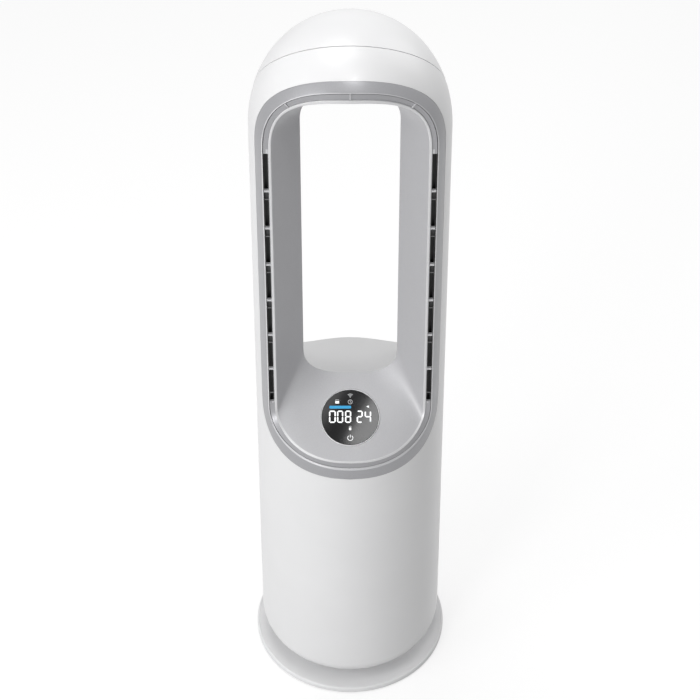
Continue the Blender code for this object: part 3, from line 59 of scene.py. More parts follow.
SKIN_T = 0.0025           # wall of the tower's skin
GAP = 0.0003              # fit between touching pieces
DOME_H = 0.1400           # height of the domed top
DOME_POWER = 2.115        # fullness of the dome's curve
BOTTOM_FILLET = 0.0340    # rounding of the tower's bottom edge
SEAM_Y = 0.0285           # plane where the front skin meets the back skin
SEAM_TOP_Y = -0.0262      # where that seam crosses the top of the dome
SEAM_LEAN = 0.52          # how far the seam comes forward for each metre up the dome
SEAM_W = 0.0006           # what the shadow line along the seam adds to the fit between the skins
NEAR_SKIN = 2e-5          # points this close to the exact surface lie on it
SAME_WAY = 0.97           # and their faces point at least this nearly the same way
CUT_MARGIN = 0.05         # cutting tools run this far past the tower
INTAKE_AZ = 79.2          # where the rear cover starts, in degrees from the front

FRAME_HALF_W = TOWER_R - 0.0091
FRAME_Z0 = 0.4222         # bottom of the frame
FRAME_Z1 = TOWER_TOP - 0.0201
STRAIGHT_TOP = 0.1260     # sides of the frame and groove are straight up to here below the dome's top
FRAME_DROP = 0.1015       # height of the frame's bottom curve
FRAME_LOW = 4.04          # squareness of that curve
FRAME_HIGH = 2.14         # squareness of its top curve
FRAME_FACE_X = 0.0094     # frame's width seen from the front, at its sides
FRAME_FACE_Z0 = 0.0191    # the same at its bottom
FRAME_FACE_Z1 = 0.0099    # the same at its top
FRAME_T = 0.0025
FRAME_RETURN = 0.0085     # depth of the frame's inner flange
FRAME_FLANGE_SHARE = 0.925   # where that flange's back meets the face, from the outer edge inwards
FRAME_EDGE_R = 0.0003     # rounding of the frame's outer edge
FRAME_CUT = 0.00004       # the skin stops this close to the frame
FRAME_ROLL = 0.74         # share of the frame's width where it starts to roll in
FRAME_ROLL_D = 0.0022     # depth of that roll
ROLL_FACES = range(12, 18)   # sections of the frame's roll, painted lighter as a painted highlight
GROOVE_DROP = 0.0570
GROOVE_LOW = 2.83
GROOVE_HIGH = 2.24
GROOVE_X = 0.0068         # width of the outlet groove at its sides
GROOVE_Z0 = 0.0101
GROOVE_Z1 = 0.0093
GROOVE_D = 0.0018         # depth of the groove's floor
RING_T = 0.0034           # wall of the groove's ring, seen in the ends of the slots
RING_FIT = 0.0002
RING_GAP = 0.0008         # shadow line between the ring and the frame
RING_SIDE = 0.8           # share of the half width where the ring meets the channels
RING_THIN = 0.0012        # its wall there, at least
LIP_DROP = 0.0526
LIP_LOW = 3.22
LIP_HIGH = 2.31
LIP_X = 0.0029            # liner's front lip
LIP_Z0 = 0.0032
LIP_Z1 = 0.0046
LIP_SINK = 0.0003
LIP_BACK = 0.0045         # depth of the lip's outer side
LIP_EDGE = 0.0006         # rounding of the lip's edges
LIP_FACES = 9             # sections of the liner that make the light lip
MOUTH_DROP = 0.0424
MOUTH_LOW = 3.15
MOUTH_HIGH = 2.38
LINER_T = 0.0022

THROAT_Y = -0.0163        # plane of the tunnel's narrowest ring
THROAT_HALF_W = TOWER_R - 0.0615
THROAT_Z0 = 0.5097
THROAT_Z1 = TOWER_TOP - 0.0780
THROAT_DROP = 0.0440
THROAT_LOW = 2.65
THROAT_RISE = 0.0420
THROAT_HIGH = 2.65
REAR_HALF_W = TOWER_R - 0.0324   # rear mouth of the tunnel
REAR_Z0 = 0.4379
REAR_Z1 = TOWER_TOP - 0.0700
REAR_DROP = 0.0620
REAR_LOW = 3.10
REAR_RISE = 0.1000
REAR_HIGH = 2.40
REAR_STEP = 0.0008        # the rear tunnel starts this much outside the liner's rim
REAR_LAP = 0.0040         # depth of the rear tunnel's rim

SLOT_COUNT = 7
SLOT_Z0 = 0.5047          # bottom of the lowest slot
SLOTS_TOP = 0.1326        # top of the highest slot below the dome's top
SLOT_BAR = 0.0028         # bar between two slots
SLOT_CORNER = 0.0012      # rounding of a slot's corners
SLOT_RIM = 0.0003         # what is left of the ring beside a slot
SLOT_RIB_DROP = 0.0135    # small inner rib below a slot's top
SLOT_RIB_D = 0.0046       # depth of that rib
SLOT_RIB_T = 0.0012
SLOT_RIB_H = 0.0010
SLOT_CUT = 0.040          # length of the tool that cuts a slot
STOP_T = 0.0008           # plate that closes a slot above its rib
STOP_BACK = 0.0026        # it stands this far behind the rib
TROUGH_WALL = 0.0008      # wall of the black trough behind the slots, whose black is painted shade
TROUGH_END = 0.0030       # it runs this far past them
RIB_W = 0.0016            # small ribs across the top of the groove
RIB_SHARES = (0.25, 0.50, 0.75)   # where they are on the groove's top curve
RIB_SINK = 0.0006
RIB_FOOT = 0.0004         # their foot below the groove's floor
RIB_FIT = 1.5 * RING_FIT
RIB_ROUND = 0.0003
RIB_SPAN = 0.0006         # their edges that change less than this in depth are rounded

DISPLAY_Y = -0.0687       # centre of the display
DISPLAY_PROUD = 0.0004    # top of its ring above the floor
DISPLAY_RING_H = 0.0026
DISPLAY_CUT = (-0.010, 0.014)   # heights of the hole for it, from the floor
DISPLAY_STEPS = 160
WINDOW_CROWN = 0.0003     # rise of the window in its middle
WINDOW_T = 0.0020
WINDOW_EDGE = 0.0002      # bevel at the window's rim
FIGURE_LIFT = 0.00005     # lit figures over the window's surface
FIGURE_T = 0.00015

FOOT_H = 0.0015           # underside of the base above the floor
BASE_RIM_H = 0.0098
BASE_RIM_T = 0.0024
BASE_SKIN_T = 0.0022
BASE_EDGE_R = 0.0026      # rounding of the rim's top edge
BASE_LINE_W = 0.0012      # fine line inside the rim
BASE_LINE_D = 0.0003      # its depth
BASE_LINE_STEP = 0.0001   # depth at its outer side
BASE_FOOT_R = 0.0008      # rounding of the rim's lower edge
BASE_CROWN = 0.0014       # rise of the base's top towards its hub
HUB_R = 0.0700
HUB_H = 0.0036
HUB_EDGE_R = 0.0009
POST_BORE = 0.0240
GROMMET_R = 0.0025
GROMMET_CUT = 0.010       # half the length of the hole for it
GROMMET_STEPS = 32

GRILLE_COLUMNS = 24       # slots round the rear intake cover
GRILLE_ROWS = 3
GRILLE_EDGE = 0.0080
GRILLE_BAR = 0.0042
GRILLE_CORNER = 0.0026    # rounding of a slot's corners
GRILLE_ROUND = 0.0004     # rounding of its edges
MIDDLE_ROUND = 0.29       # share of that rounding where its middle point lies
CELL_POINTS = 6           # points on each side of a cell with its slot
WELD = 2e-6               # cells are joined where their points are this close
GRIP_SLOTS = 2            # the top row is closed this many columns either side of the grip
GRIP_SINK = 0.0004
GRIP_STEPS = 32
GRIP_END = 0.999          # share of the half width where the grip stops
GRIP_POWER = 5            # squareness of its ends

PLEATS = 30
PLEAT_SHEET = 0.0019      # radial thickness of the folded sheet
PLEAT_STEPS = 8           # points on each half fold
PLEAT_R0, PLEAT_R1 = 0.0822, 0.1098
PLEAT_AZ = 84.41          # where the folds start, in degrees from the front
PLEAT_ROUND = 0.975       # sharpness of the folds
PLEAT_ROWS = 6
TAB_CORNER = 4.0          # corner of the pull tab, in millimetres
TAB_ROUND = 0.0004
TAB_BARS = 4
TAB_BAR_W, TAB_BAR_H = 8.0, 0.6   # half sizes of a bar on it, in millimetres
TAB_BAR_CORNER = 0.59     # in millimetres
TAB_BAR_SINK = 0.0001
TAB_BAR_PROUD = 0.0006
TAB_BAR_Z0 = 0.0050       # the lowest bar above the tab's lower edge
TAB_BAR_PITCH = 0.0032

# How fine the surfaces are

TURN_STEPS = 192
DOME_STEPS = 40
FILLET_STEPS = 14
SIDE_ROWS = 22
CURVE_STEPS = 72
STRAIGHT_STEPS = 20
LINER_ROWS = 10
PLUG_STEPS = 96
RIM_STEPS = 12            # from the hub to the rim of the base

MM = 1000                 # millimetres in a metre
ON_AXIS = 1e-7            # smaller radii are on the axis

dome_z = TOWER_TOP - DOME_H
floor_r = TOWER_R - BOTTOM_FILLET


# Mesh helpers

def new_object(name, data):
    obj = bpy.data.objects.new(name, data)
    bpy.context.scene.collection.objects.link(obj)
    return obj


def smooth(mesh, sharp):
    """Smooth shading, with sharp edges over an angle in degrees."""
    mesh.shade_smooth()
    mesh.set_sharp_from_angle(angle=radians(sharp))


def add(name, bm, body, look, sharp=35.0):
    """Makes an object from a bmesh, with its material, riding on a body."""
    bmesh.ops.recalc_face_normals(bm, faces=bm.faces)
    mesh = bpy.data.meshes.new(name)
    bm.to_mesh(mesh)
    bm.free()
    obj = new_object(name, mesh)
    if look is not None:
        mesh.materials.append(look)
    smooth(mesh, sharp)
    if body:
        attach(obj, body)
    return obj


def cutter(name, bm):
    obj = add(name, bm, None, None)
    obj.hide_render = True
    obj.hide_viewport = True
    return obj


def settle(obj, sharp=35.0):
    """Applies an object's modifiers and drops the tools that they used."""
    graph = bpy.context.evaluated_depsgraph_get()
    mesh = bpy.data.meshes.new_from_object(obj.evaluated_get(graph))
    tools = [m.object for m in obj.modifiers if m.type == "BOOLEAN"]
    obj.modifiers.clear()
    obj.data = mesh
    smooth(mesh, sharp)
    for tool in tools:
        bpy.data.objects.remove(tool, do_unlink=True)


def boolean(obj, tool, operation="DIFFERENCE"):
    mod = obj.modifiers.new(operation.lower() + "_" + tool.name, "BOOLEAN")
    mod.operation = operation
    mod.object = tool
    mod.solver = "EXACT"
    tool.hide_viewport = False


def turned_bm(profile, steps=TURN_STEPS, closed=True):
    """Turns a profile of radius and height round Z."""
    bm = bmesh.new()
    rings = []
    for r, z in profile:
        if r < ON_AXIS:
            rings.append([bm.verts.new((0, 0, z))])
        else:
            rings.append([bm.verts.new((r * cos(2 * pi * i / steps), r * sin(2 * pi * i / steps), z))
                          for i in range(steps)])
    pairs = list(zip(rings, rings[1:]))
    if closed:
        pairs.append((rings[-1], rings[0]))
    for low, high in pairs:
        if len(low) == 1 and len(high) == 1:
            continue
        for i in range(steps):
            k = (i + 1) % steps
            if len(low) == 1:
                bm.faces.new((low[0], high[i], high[k]))
            elif len(high) == 1:
                bm.faces.new((low[i], high[0], low[k]))
            else:
                bm.faces.new((low[i], high[i], high[k], low[k]))
    return bm


def plug_bm(radius, low, high, steps=PLUG_STEPS):
    """A solid round bar."""
    return turned_bm([(0.0, high), (radius, high), (radius, low), (0.0, low)], steps, False)


def prism_bm(outline, low, high, axis="Z", bm=None):
    """A prism between two places on an axis, in a new mesh or in one that is there."""
    lift = {"Z": lambda p, q: (p[0], p[1], q), "Y": lambda p, q: (p[0], q, p[1]),
            "X": lambda p, q: (q, p[0], p[1])}[axis]
    bm = bmesh.new() if bm is None else bm
    face = bm.faces.new([bm.verts.new(lift(p, low)) for p in outline])
    moved = bmesh.ops.extrude_face_region(bm, geom=[face])
    step = Vector(lift((0, 0), high - low))
    bmesh.ops.translate(bm, vec=step, verts=[v for v in moved["geom"] if isinstance(v, bmesh.types.BMVert)])
    return bm


def bridge(bm, rings):
    """Joins each closed ring of points to the next."""
    count = len(rings[0])
    for low, high in zip(rings, rings[1:]):
        for i in range(count):
            k = (i + 1) % count
            bm.faces.new((low[i], low[k], high[k], high[i]))


def ring_loft_bm(sections):
    """Joins closed sections of equal count into one closed ring."""
    bm = bmesh.new()
    rings = [[bm.verts.new(p) for p in loop] for loop in sections]
    bridge(bm, rings + rings[:1])
    return bm


def round_edges(bm, edges, size, segments):
    bmesh.ops.bevel(bm, geom=list(edges), offset=size, segments=segments, affect="EDGES", profile=0.5)


def round_face_edges(bm, size, span=1e-6):
    """Rounds the edges that change less than a span in depth."""
    round_edges(bm, [e for e in bm.edges if abs(e.verts[0].co.y - e.verts[1].co.y) < span], size, 3)


def repaint(obj, pick, *looks):
    """Adds looks to an object. The pick gives a face's look, from the face's number and the face."""
    for look in looks:
        obj.data.materials.append(look)
    for i, face in enumerate(obj.data.polygons):
        face.material_index = pick(i, face)


def at(r, az, z=0.0):
    """A point at a radius and an angle in degrees from the front, towards +X."""
    return Vector((r * sin(radians(az)), -r * cos(radians(az)), z))


def box_into(bm, size, center):
    mat = Matrix.Translation(center) @ Matrix.Diagonal((*size, 1.0))
    return bmesh.ops.create_cube(bm, size=1.0, matrix=mat)["verts"]


# The tower's outer surface

def surface_radius(z):
    if z <= dome_z:
        return TOWER_R
    t = min((z - dome_z) / DOME_H, 1.0)
    return TOWER_R * (1 - t ** DOME_POWER) ** (1 / DOME_POWER)


def surface_slope(r, z):
    """Outward direction of the surface, as its radial and upright parts."""
    if z <= dome_z:
        return (1.0, 0.0)
    nr = (r / TOWER_R) ** (DOME_POWER - 1) / TOWER_R
    nz = ((z - dome_z) / DOME_H) ** (DOME_POWER - 1) / DOME_H
    size = sqrt(nr * nr + nz * nz)
    return (nr / size, nz / size)


def on_skin(x, z, depth, side=-1.0):
    """The point of the outer surface that shows at x, z from the front or the back, moved in."""
    r = surface_radius(z)
    y = side * sqrt(max(r * r - x * x, 0.0))
    nr, nz = surface_slope(r, z)
    return Vector((x - depth * nr * x / r, y - depth * nr * y / r, z - depth * nz))


def skin_profile(depth):
    """Outer side of the tower from the top of the dome to its floor, moved in by depth."""
    points = []
    for i in range(DOME_STEPS + 1):
        turn = pi / 2 * i / DOME_STEPS
        r = TOWER_R * sin(turn) ** (2 / DOME_POWER)
        z = dome_z + DOME_H * cos(turn) ** (2 / DOME_POWER) if i < DOME_STEPS else dome_z
        normal = surface_slope(r, z)
        points.append((0.0 if i == 0 else r - depth * normal[0], z - depth * normal[1]))
    side_low = FLOOR_Z + BOTTOM_FILLET
    for i in range(1, SIDE_ROWS):
        points.append((TOWER_R - depth, dome_z + (side_low - dome_z) * i / SIDE_ROWS))
    for i in range(FILLET_STEPS + 1):
        turn = pi / 2 * i / FILLET_STEPS
        points.append((floor_r + (BOTTOM_FILLET - depth) * cos(turn),
                       side_low - (BOTTOM_FILLET - depth) * sin(turn)))
    return points


# Outlines seen from the front

def bow(half_w, z, rise, power, start):
    """Half of a rounded curve over or under a height, from a starting angle."""
    points = []
    for i in range(CURVE_STEPS + 1):
        turn = start + pi * i / CURVE_STEPS
        c, s = cos(turn), sin(turn)
        points.append((half_w * (abs(c) ** (2 / power)) * (1 if c > 0 else -1),
                       z + rise * abs(s) ** (2 / power)))
    return points


def arch(half_w, z0, drop, low_power, z1, rise, high_power):
    """A closed upright outline with a curved bottom and a curved top."""
    low, high = z0 + drop, z1 - rise
    steps = range(1, STRAIGHT_STEPS)
    return (bow(half_w, low, -drop, low_power, pi)
            + [(half_w, low + (high - low) * i / STRAIGHT_STEPS) for i in steps]
            + bow(half_w, high, rise, high_power, 0.0)
            + [(-half_w, high + (low - high) * i / STRAIGHT_STEPS) for i in steps])


def grown(outline, size):
    """An outline moved out by a size in its own plane."""
    out = []
    count = len(outline)
    for i, p in enumerate(outline):
        a, b = outline[i - 1], outline[(i + 1) % count]
        tx, tz = b[0] - a[0], b[1] - a[1]
        length = sqrt(tx * tx + tz * tz)
        out.append((p[0] + size * tz / length, p[1] - size * tx / length))
    return out


def between(p, q, share):
    return (p[0] + (q[0] - p[0]) * share, p[1] + (q[1] - p[1]) * share)


def towards(p, q, size):
    """The point a size away from p on the way to q."""
    return between(p, q, size / sqrt((q[0] - p[0]) ** 2 + (q[1] - p[1]) ** 2))


def face_y(edge):
    """Where the outer surface is behind a point of the frame's inner edge."""
    return on_skin(*edge, 0.0).y


def behind(edge, point, depth):
    """A point inside the frame's inner edge. It is as far forward as that edge, less a depth."""
    return Vector((point[0], face_y(edge) + depth, point[1]))


def turned_in(a, b, c, steps):
    """Points of a smooth turn from a to c that leans towards b. The first point is left out."""
    return [a.lerp(b, i / steps).lerp(b.lerp(c, i / steps), i / steps) for i in range(1, steps + 1)]


straight_z = TOWER_TOP - STRAIGHT_TOP
groove_half_w = FRAME_HALF_W - FRAME_FACE_X
groove_z0, groove_z1 = FRAME_Z0 + FRAME_FACE_Z0, FRAME_Z1 - FRAME_FACE_Z1
lip_half_w = groove_half_w - GROOVE_X
lip_z0, lip_z1 = groove_z0 + GROOVE_Z0, groove_z1 - GROOVE_Z1
mouth_half_w = lip_half_w - LIP_X
mouth_z0, mouth_z1 = lip_z0 + LIP_Z0, lip_z1 - LIP_Z1

frame_out = arch(FRAME_HALF_W, FRAME_Z0, FRAME_DROP, FRAME_LOW, FRAME_Z1, FRAME_Z1 - straight_z, FRAME_HIGH)
frame_in = arch(groove_half_w, groove_z0, GROOVE_DROP, GROOVE_LOW,
                groove_z1, groove_z1 - straight_z, GROOVE_HIGH)
lip_out = arch(lip_half_w, lip_z0, LIP_DROP, LIP_LOW, lip_z1, lip_z1 - straight_z, LIP_HIGH)
mouth = arch(mouth_half_w, mouth_z0, MOUTH_DROP, MOUTH_LOW, mouth_z1, mouth_z1 - straight_z, MOUTH_HIGH)
throat = arch(THROAT_HALF_W, THROAT_Z0, THROAT_DROP, THROAT_LOW, THROAT_Z1, THROAT_RISE, THROAT_HIGH)
rear_mouth = arch(REAR_HALF_W, REAR_Z0, REAR_DROP, REAR_LOW, REAR_Z1, REAR_RISE, REAR_HIGH)


# Materials

NOISE_SPAN = (0.3, 0.7)   # a noise's values that most patterns use


def new_node(tree, kind, inputs=None, **settings):
    """A new node. Each of its inputs takes a value or the output of another node."""
    made = tree.nodes.new(kind)
    for key, value in settings.items():
        setattr(made, key, value)
    for key, value in (inputs or {}).items():
        if isinstance(value, bpy.types.NodeSocket):
            tree.links.new(value, made.inputs[key])
        else:
            made.inputs[key].default_value = value
    return made


class Look:
    """A new material, with short ways to add nodes to it and to set its shader."""

    def __init__(self, name):
        self.mat = bpy.data.materials.new(name)
        self.mat.use_nodes = True
        self.tree = self.mat.node_tree
        self.shader = self.tree.nodes["Principled BSDF"]

    def node(self, kind, inputs=None, **settings):
        return new_node(self.tree, kind, inputs, **settings)

    def link(self, output, socket):
        self.tree.links.new(output, self.shader.inputs[socket])

    def fix(self, **values):
        """Sets values that are the same all over. An underscore stands for a space."""
        for key, value in values.items():
            self.shader.inputs[key.replace("_", " ")].default_value = value

    def place(self):
        """The place of each point on its own object."""
        return self.node("ShaderNodeTexCoord").outputs["Object"]

    def stretched(self, place, scale):
        return self.node("ShaderNodeMapping", {"Vector": place, "Scale": scale}).outputs["Vector"]

    def noise(self, place, scale, detail, **more):
        inputs = {"Vector": place, "Scale": scale, "Detail": detail, **more}
        return self.node("ShaderNodeTexNoise", inputs).outputs["Fac"]

    def level(self, source, span, low=0.0, high=1.0):
        """Turns a value's span into another range."""
        inputs = {"Value": source, "From Min": span[0], "From Max": span[1], "To Min": low, "To Max": high}
        return self.node("ShaderNodeMapRange", inputs).outputs["Result"]

    def gloss(self, source, low, high, span=NOISE_SPAN):
        self.link(self.level(source, span, low, high), "Roughness")

    def color(self, source, low, high, span=NOISE_SPAN, socket="Base Color"):
        """Mixes two colours over a value's span."""
        inputs = {"Factor": self.level(source, span), "A": (*low, 1), "B": (*high, 1)}
        self.link(self.node("ShaderNodeMix", inputs, data_type="RGBA").outputs["Result"], socket)

    def relief(self, height, strength, distance=0.0002):
        """Raises the surface by a pattern."""
        bump = self.node("ShaderNodeBump", {"Height": height, "Strength": strength, "Distance": distance})
        self.link(bump.outputs["Normal"], "Normal")


def shade(color, share):
    return tuple(min(c * share, 1.0) for c in color)


def moulded(name, color, roughness, grain=2600.0, relief=0.02, mottle=0.02, coat=0.0):
    """Moulded or painted plastic: a fine grain, faint flow marks and small changes of gloss."""
    new = Look(name)
    place = new.place()
    flow = new.noise(place, 9.0, 4.0, Roughness=0.55)
    speck = new.noise(place, grain / 5, 5.0, Roughness=0.7)
    new.color(flow, shade(color, 1 - mottle), shade(color, 1 + mottle * 0.5))
    new.gloss(speck, roughness - 0.035, roughness + 0.035)
    new.relief(new.noise(place, grain, 2.0), relief)
    new.fix(Coat_Weight=coat, Coat_Roughness=0.12)
    return new.mat


def silver_paint(name, color, roughness, metallic, flake=0.05):
    """Satin silver paint: small flakes that differ in lightness and lie at slightly different angles."""
    new = Look(name)
    place = new.place()
    cells = new.node("ShaderNodeTexVoronoi", {"Vector": place, "Scale": 1900.0})
    lightness = new.node("ShaderNodeSeparateColor", {"Color": cells.outputs["Color"]}).outputs["Red"]
    new.color(lightness, shade(color, 1 - flake), shade(color, 1 + flake), (0.0, 1.0))
    new.gloss(new.noise(place, 60.0, 3.0), roughness - 0.03, roughness + 0.03)
    new.relief(lightness, 0.03)
    new.fix(Metallic=metallic, Coat_Weight=0.15, Coat_Roughness=0.25)
    return new.mat


def steel(name, color, roughness, stretch=(1.0, 1.0, 40.0)):
    """Plated steel with faint drawn lines and spots of duller plating."""
    new = Look(name)
    place = new.place()
    lines = new.noise(new.stretched(place, stretch), 90.0, 6.0)
    new.color(new.noise(place, 45.0, 4.0), shade(color, 0.88), shade(color, 1.05), (0.35, 0.65))
    new.gloss(lines, roughness - 0.08, roughness + 0.1)
    new.relief(lines, 0.06, 0.0003)
    new.fix(Metallic=1.0)
    return new.mat


def rubber(name, color):
    """Dull rubber with a fine grain and a little dust."""
    new = Look(name)
    place = new.place()
    dust = new.noise(place, 70.0, 5.0)
    new.color(dust, color, shade(color, 2.2), (0.4, 0.75))
    new.gloss(dust, 0.7, 0.88)
    new.relief(new.noise(place, 900.0, 4.0), 0.25, 0.0003)
    return new.mat


def fleece(name, color):
    """Pressed filter fleece: fibres in two directions, with thin and thick spots."""
    new = Look(name)
    place = new.place()
    long_way = new.noise(new.stretched(place, (1.0, 1.0, 9.0)), 420.0, 6.0)
    cross_way = new.noise(new.stretched(place, (7.0, 7.0, 1.0)), 300.0, 6.0)
    fibres = new.node("ShaderNodeMath", {0: long_way, 1: cross_way}, operation="MULTIPLY")
    new.color(new.noise(place, 60.0, 3.0), shade(color, 0.93), color)
    new.relief(fibres.outputs["Value"], 0.5, 0.0005)
    new.fix(Roughness=0.95, Sheen_Weight=0.2)
    return new.mat


def circuit_board(name):
    """Green solder mask over a pattern of tracks, with small bright pads."""
    new = Look(name)
    place = new.place()
    greens = {"Color1": (0.020, 0.150, 0.060, 1), "Color2": (0.026, 0.190, 0.075, 1),
              "Mortar": (0.060, 0.300, 0.120, 1)}
    tracks = new.node("ShaderNodeTexBrick",
                      {"Vector": place, "Scale": 160.0, "Mortar Size": 0.06, **greens})
    pads = new.node("ShaderNodeTexVoronoi", {"Vector": place, "Scale": 260.0, "Randomness": 0.7})
    is_pad = new.node("ShaderNodeMath", {0: pads.outputs["Distance"], 1: 0.2}, operation="LESS_THAN")
    share = is_pad.outputs["Value"]
    inputs = {"Factor": share, "A": tracks.outputs["Color"], "B": (0.62, 0.60, 0.52, 1)}
    new.link(new.node("ShaderNodeMix", inputs, data_type="RGBA").outputs["Result"], "Base Color")
    new.gloss(share, 0.38, 0.25, (0, 1))
    return new.mat


def smoked_glass(name):
    """Deep black window with a hard gloss and the faintest smears."""
    new = Look(name)
    smear = new.noise(new.place(), 40.0, 4.0, Distortion=0.6)
    new.gloss(smear, 0.07, 0.09, (0.35, 0.7))
    new.color(smear, (0.004, 0.004, 0.005), (0.006, 0.006, 0.007))
    new.fix(IOR=1.5, Specular_IOR_Level=0.2)
    return new.mat


def lit(name, color):
    """A lit figure behind the window, a little brighter in its middle cells."""
    new = Look(name)
    cells = new.noise(new.place(), 700.0, 1.0)
    new.color(cells, shade(color, 0.92), color, socket="Emission Color")
    new.fix(Base_Color=(*shade(color, 0.4), 1), Emission_Strength=1.0, Roughness=0.4)
    return new.mat


WHITE = (0.80, 0.80, 0.806)
SILVER = (0.345, 0.345, 0.36)
LIGHT_SILVER = (0.56, 0.56, 0.575)
LINER_GREY = (0.50, 0.50, 0.515)

white = moulded("white_moulding", WHITE, 0.36, coat=0.1)
white_base = moulded("white_base_moulding", WHITE, 0.40, coat=0.06)
white_tunnel = moulded("white_tunnel_moulding", shade(WHITE, 0.86), 0.45)
# silver for the frame's face, and painted shade on the outlet ring's curves above and below the slots
silver = silver_paint("silver_paint", SILVER, 0.36, 0.30)
# light silver for the outlet ring and its ribs, and a painted highlight on the frame's roll
light_silver_and_painted_highlight = silver_paint("light_silver_paint_and_painted_highlight", LIGHT_SILVER, 0.38, 0.15)
liner_paint = silver_paint("liner_paint", LINER_GREY, 0.48, 0.12, 0.04)
# the liner's light lip, and a painted highlight on the upright sides of the frame's roll
lip_silver_and_painted_highlight = silver_paint("lip_silver_and_painted_highlight", (0.68, 0.68, 0.69), 0.36, 0.10, 0.03)
trim = silver_paint("bright_trim", (0.90, 0.90, 0.91), 0.30, 0.25, 0.02)
glass = smoked_glass("smoked_window")
black = moulded("black_moulding", (0.012, 0.012, 0.013), 0.55, grain=900.0, relief=0.15)
dark = moulded("dark_moulding", (0.045, 0.045, 0.047), 0.5, grain=900.0, relief=0.2)
grey = moulded("grey_moulding", (0.20, 0.20, 0.205), 0.48, grain=1200.0, relief=0.12)
natural = moulded("natural_moulding", (0.66, 0.66, 0.61), 0.35, grain=1500.0, relief=0.05, mottle=0.04)
board_green = circuit_board("board_with_tracks")
fleece_white = fleece("pressed_fleece", (0.78, 0.79, 0.76))
blue = moulded("blue_moulding", (0.045, 0.19, 0.42), 0.42, grain=900.0, relief=0.15)
lit_white = lit("lit_white", (0.95, 0.96, 0.97))
lit_dim = lit("lit_dim", (0.55, 0.56, 0.57))
lit_blue = lit("lit_blue", (0.010, 0.27, 0.52))
rubber_black = rubber("rubber_black", (0.018, 0.018, 0.018))
plated = steel("plated_steel", (0.58, 0.585, 0.59), 0.3)
can_steel = steel("steel_can", (0.50, 0.505, 0.51), 0.36, (30.0, 30.0, 1.0))

cad_looks = [
    (plated, "base_weight retaining_ring stepper_bracket impeller_shaft"),
    (plated, "base_screw_1 base_screw_2 base_screw_3 chassis_screw_1 chassis_screw_2 chassis_screw_3"),
    (can_steel, "swing_stepper power_supply fan_motor"),
    (rubber_black, "rubber_feet cord_grommet"),
    (natural, "slide_ring ring_gear drive_pinion air_duct_left air_duct_right"),
    (grey, "swivel_post chassis_drum filter_bay inlet_deck fan_housing housing_lid motor_mount"),
    (dark, "base_cover turntable board_relay board_capacitor particle_sensor filter_cartridge"),
    (black, "board_chip display_cup impeller"),
    (board_green, "main_board display_board"),
]
for look, names in cad_looks:
    for name in names.split():
        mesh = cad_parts[name].data
        mesh.materials.clear()
        mesh.materials.append(look)


# Tower skins

seam_bend_z = TOWER_TOP - (SEAM_Y - SEAM_TOP_Y) / SEAM_LEAN
over = TOWER_TOP + CUT_MARGIN
reach = TOWER_R + CUT_MARGIN


def seam_line(step):
    """The seam seen from the side, moved back by a step, from the rear cover's top up."""
    top_y = SEAM_TOP_Y + SEAM_LEAN * (TOWER_TOP - over)
    return [(SEAM_Y + step, COVER_Z1), (SEAM_Y + step, seam_bend_z), (top_y + step, over)]


def behind_seam_bm(step, lift):
    """Everything behind the seam, as a block across the tower."""
    low = COVER_Z1 + lift
    outline = [(SEAM_Y + step, low)] + seam_line(step)[1:] + [(reach, over), (reach, low)]
    return prism_bm(outline, -reach, reach, "X")


def seam_gap(name):
    """A thin slab along the seam. It opens the shadow line between the two skins, through their wall."""
    outline = seam_line(-SEAM_W / 2) + seam_line(SEAM_W / 2 + GAP)[::-1]
    return cutter(name, prism_bm(outline, -reach, reach, "X"))


def fan_block_bm(az, low, high):
    """Everything behind two upright planes through the axis, as a wedge."""
    outline = [(0.0, 0.0)] + [tuple(at(2 * TOWER_R, az + (360 - 2 * az) * i / 6).xy) for i in range(7)]
    return prism_bm(outline, low, high)


def skin_bm():
    return turned_bm(skin_profile(0.0) + skin_profile(SKIN_T)[::-1])


def true_normals(obj):
    """Shades the outer side of a skin by its exact surface, also beside the openings cut in it."""
    mesh = obj.data
    side_low = FLOOR_Z + BOTTOM_FILLET
    normals = [Vector(n.vector) for n in mesh.corner_normals]
    for face in mesh.polygons:
        for loop in face.loop_indices:
            p = mesh.vertices[mesh.loops[loop].vertex_index].co
            r = sqrt(p.x * p.x + p.y * p.y)
            if p.z < side_low or r < 1e-5 or abs(r - surface_radius(p.z)) > NEAR_SKIN:
                continue
            nr, nz = surface_slope(r, p.z)
            exact = Vector((nr * p.x / r, nr * p.y / r, nz))
            if face.normal.dot(exact) > SAME_WAY:
                normals[loop] = exact
    mesh.normals_split_custom_set([tuple(n) for n in normals])


front = add("front_skin", skin_bm(), "tower", white)
boolean(front, cutter("cut_behind_seam", behind_seam_bm(0.0, 0.0)))
boolean(front, cutter("cut_intake", fan_block_bm(INTAKE_AZ, COVER_Z0 - GAP, COVER_Z1 + GAP)))
boolean(front, cutter("cut_frame", prism_bm(grown(frame_out, FRAME_CUT), -reach, 0.0, "Y")))
boolean(front, seam_gap("cut_seam_front"))
settle(front)
true_normals(front)
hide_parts("front_shell")

back = add("back_skin", skin_bm(), "tower", white)
boolean(back, cutter("keep_behind_seam", behind_seam_bm(GAP, GAP)), "INTERSECT")
boolean(back, cutter("cut_rear", prism_bm(grown(rear_mouth, LINER_T + GAP), 0.0, reach, "Y")))
boolean(back, seam_gap("cut_seam_back"))
settle(back)
true_normals(back)
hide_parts("back_shell")


# Silver frame: a face along the tower's surface that rolls in to the groove

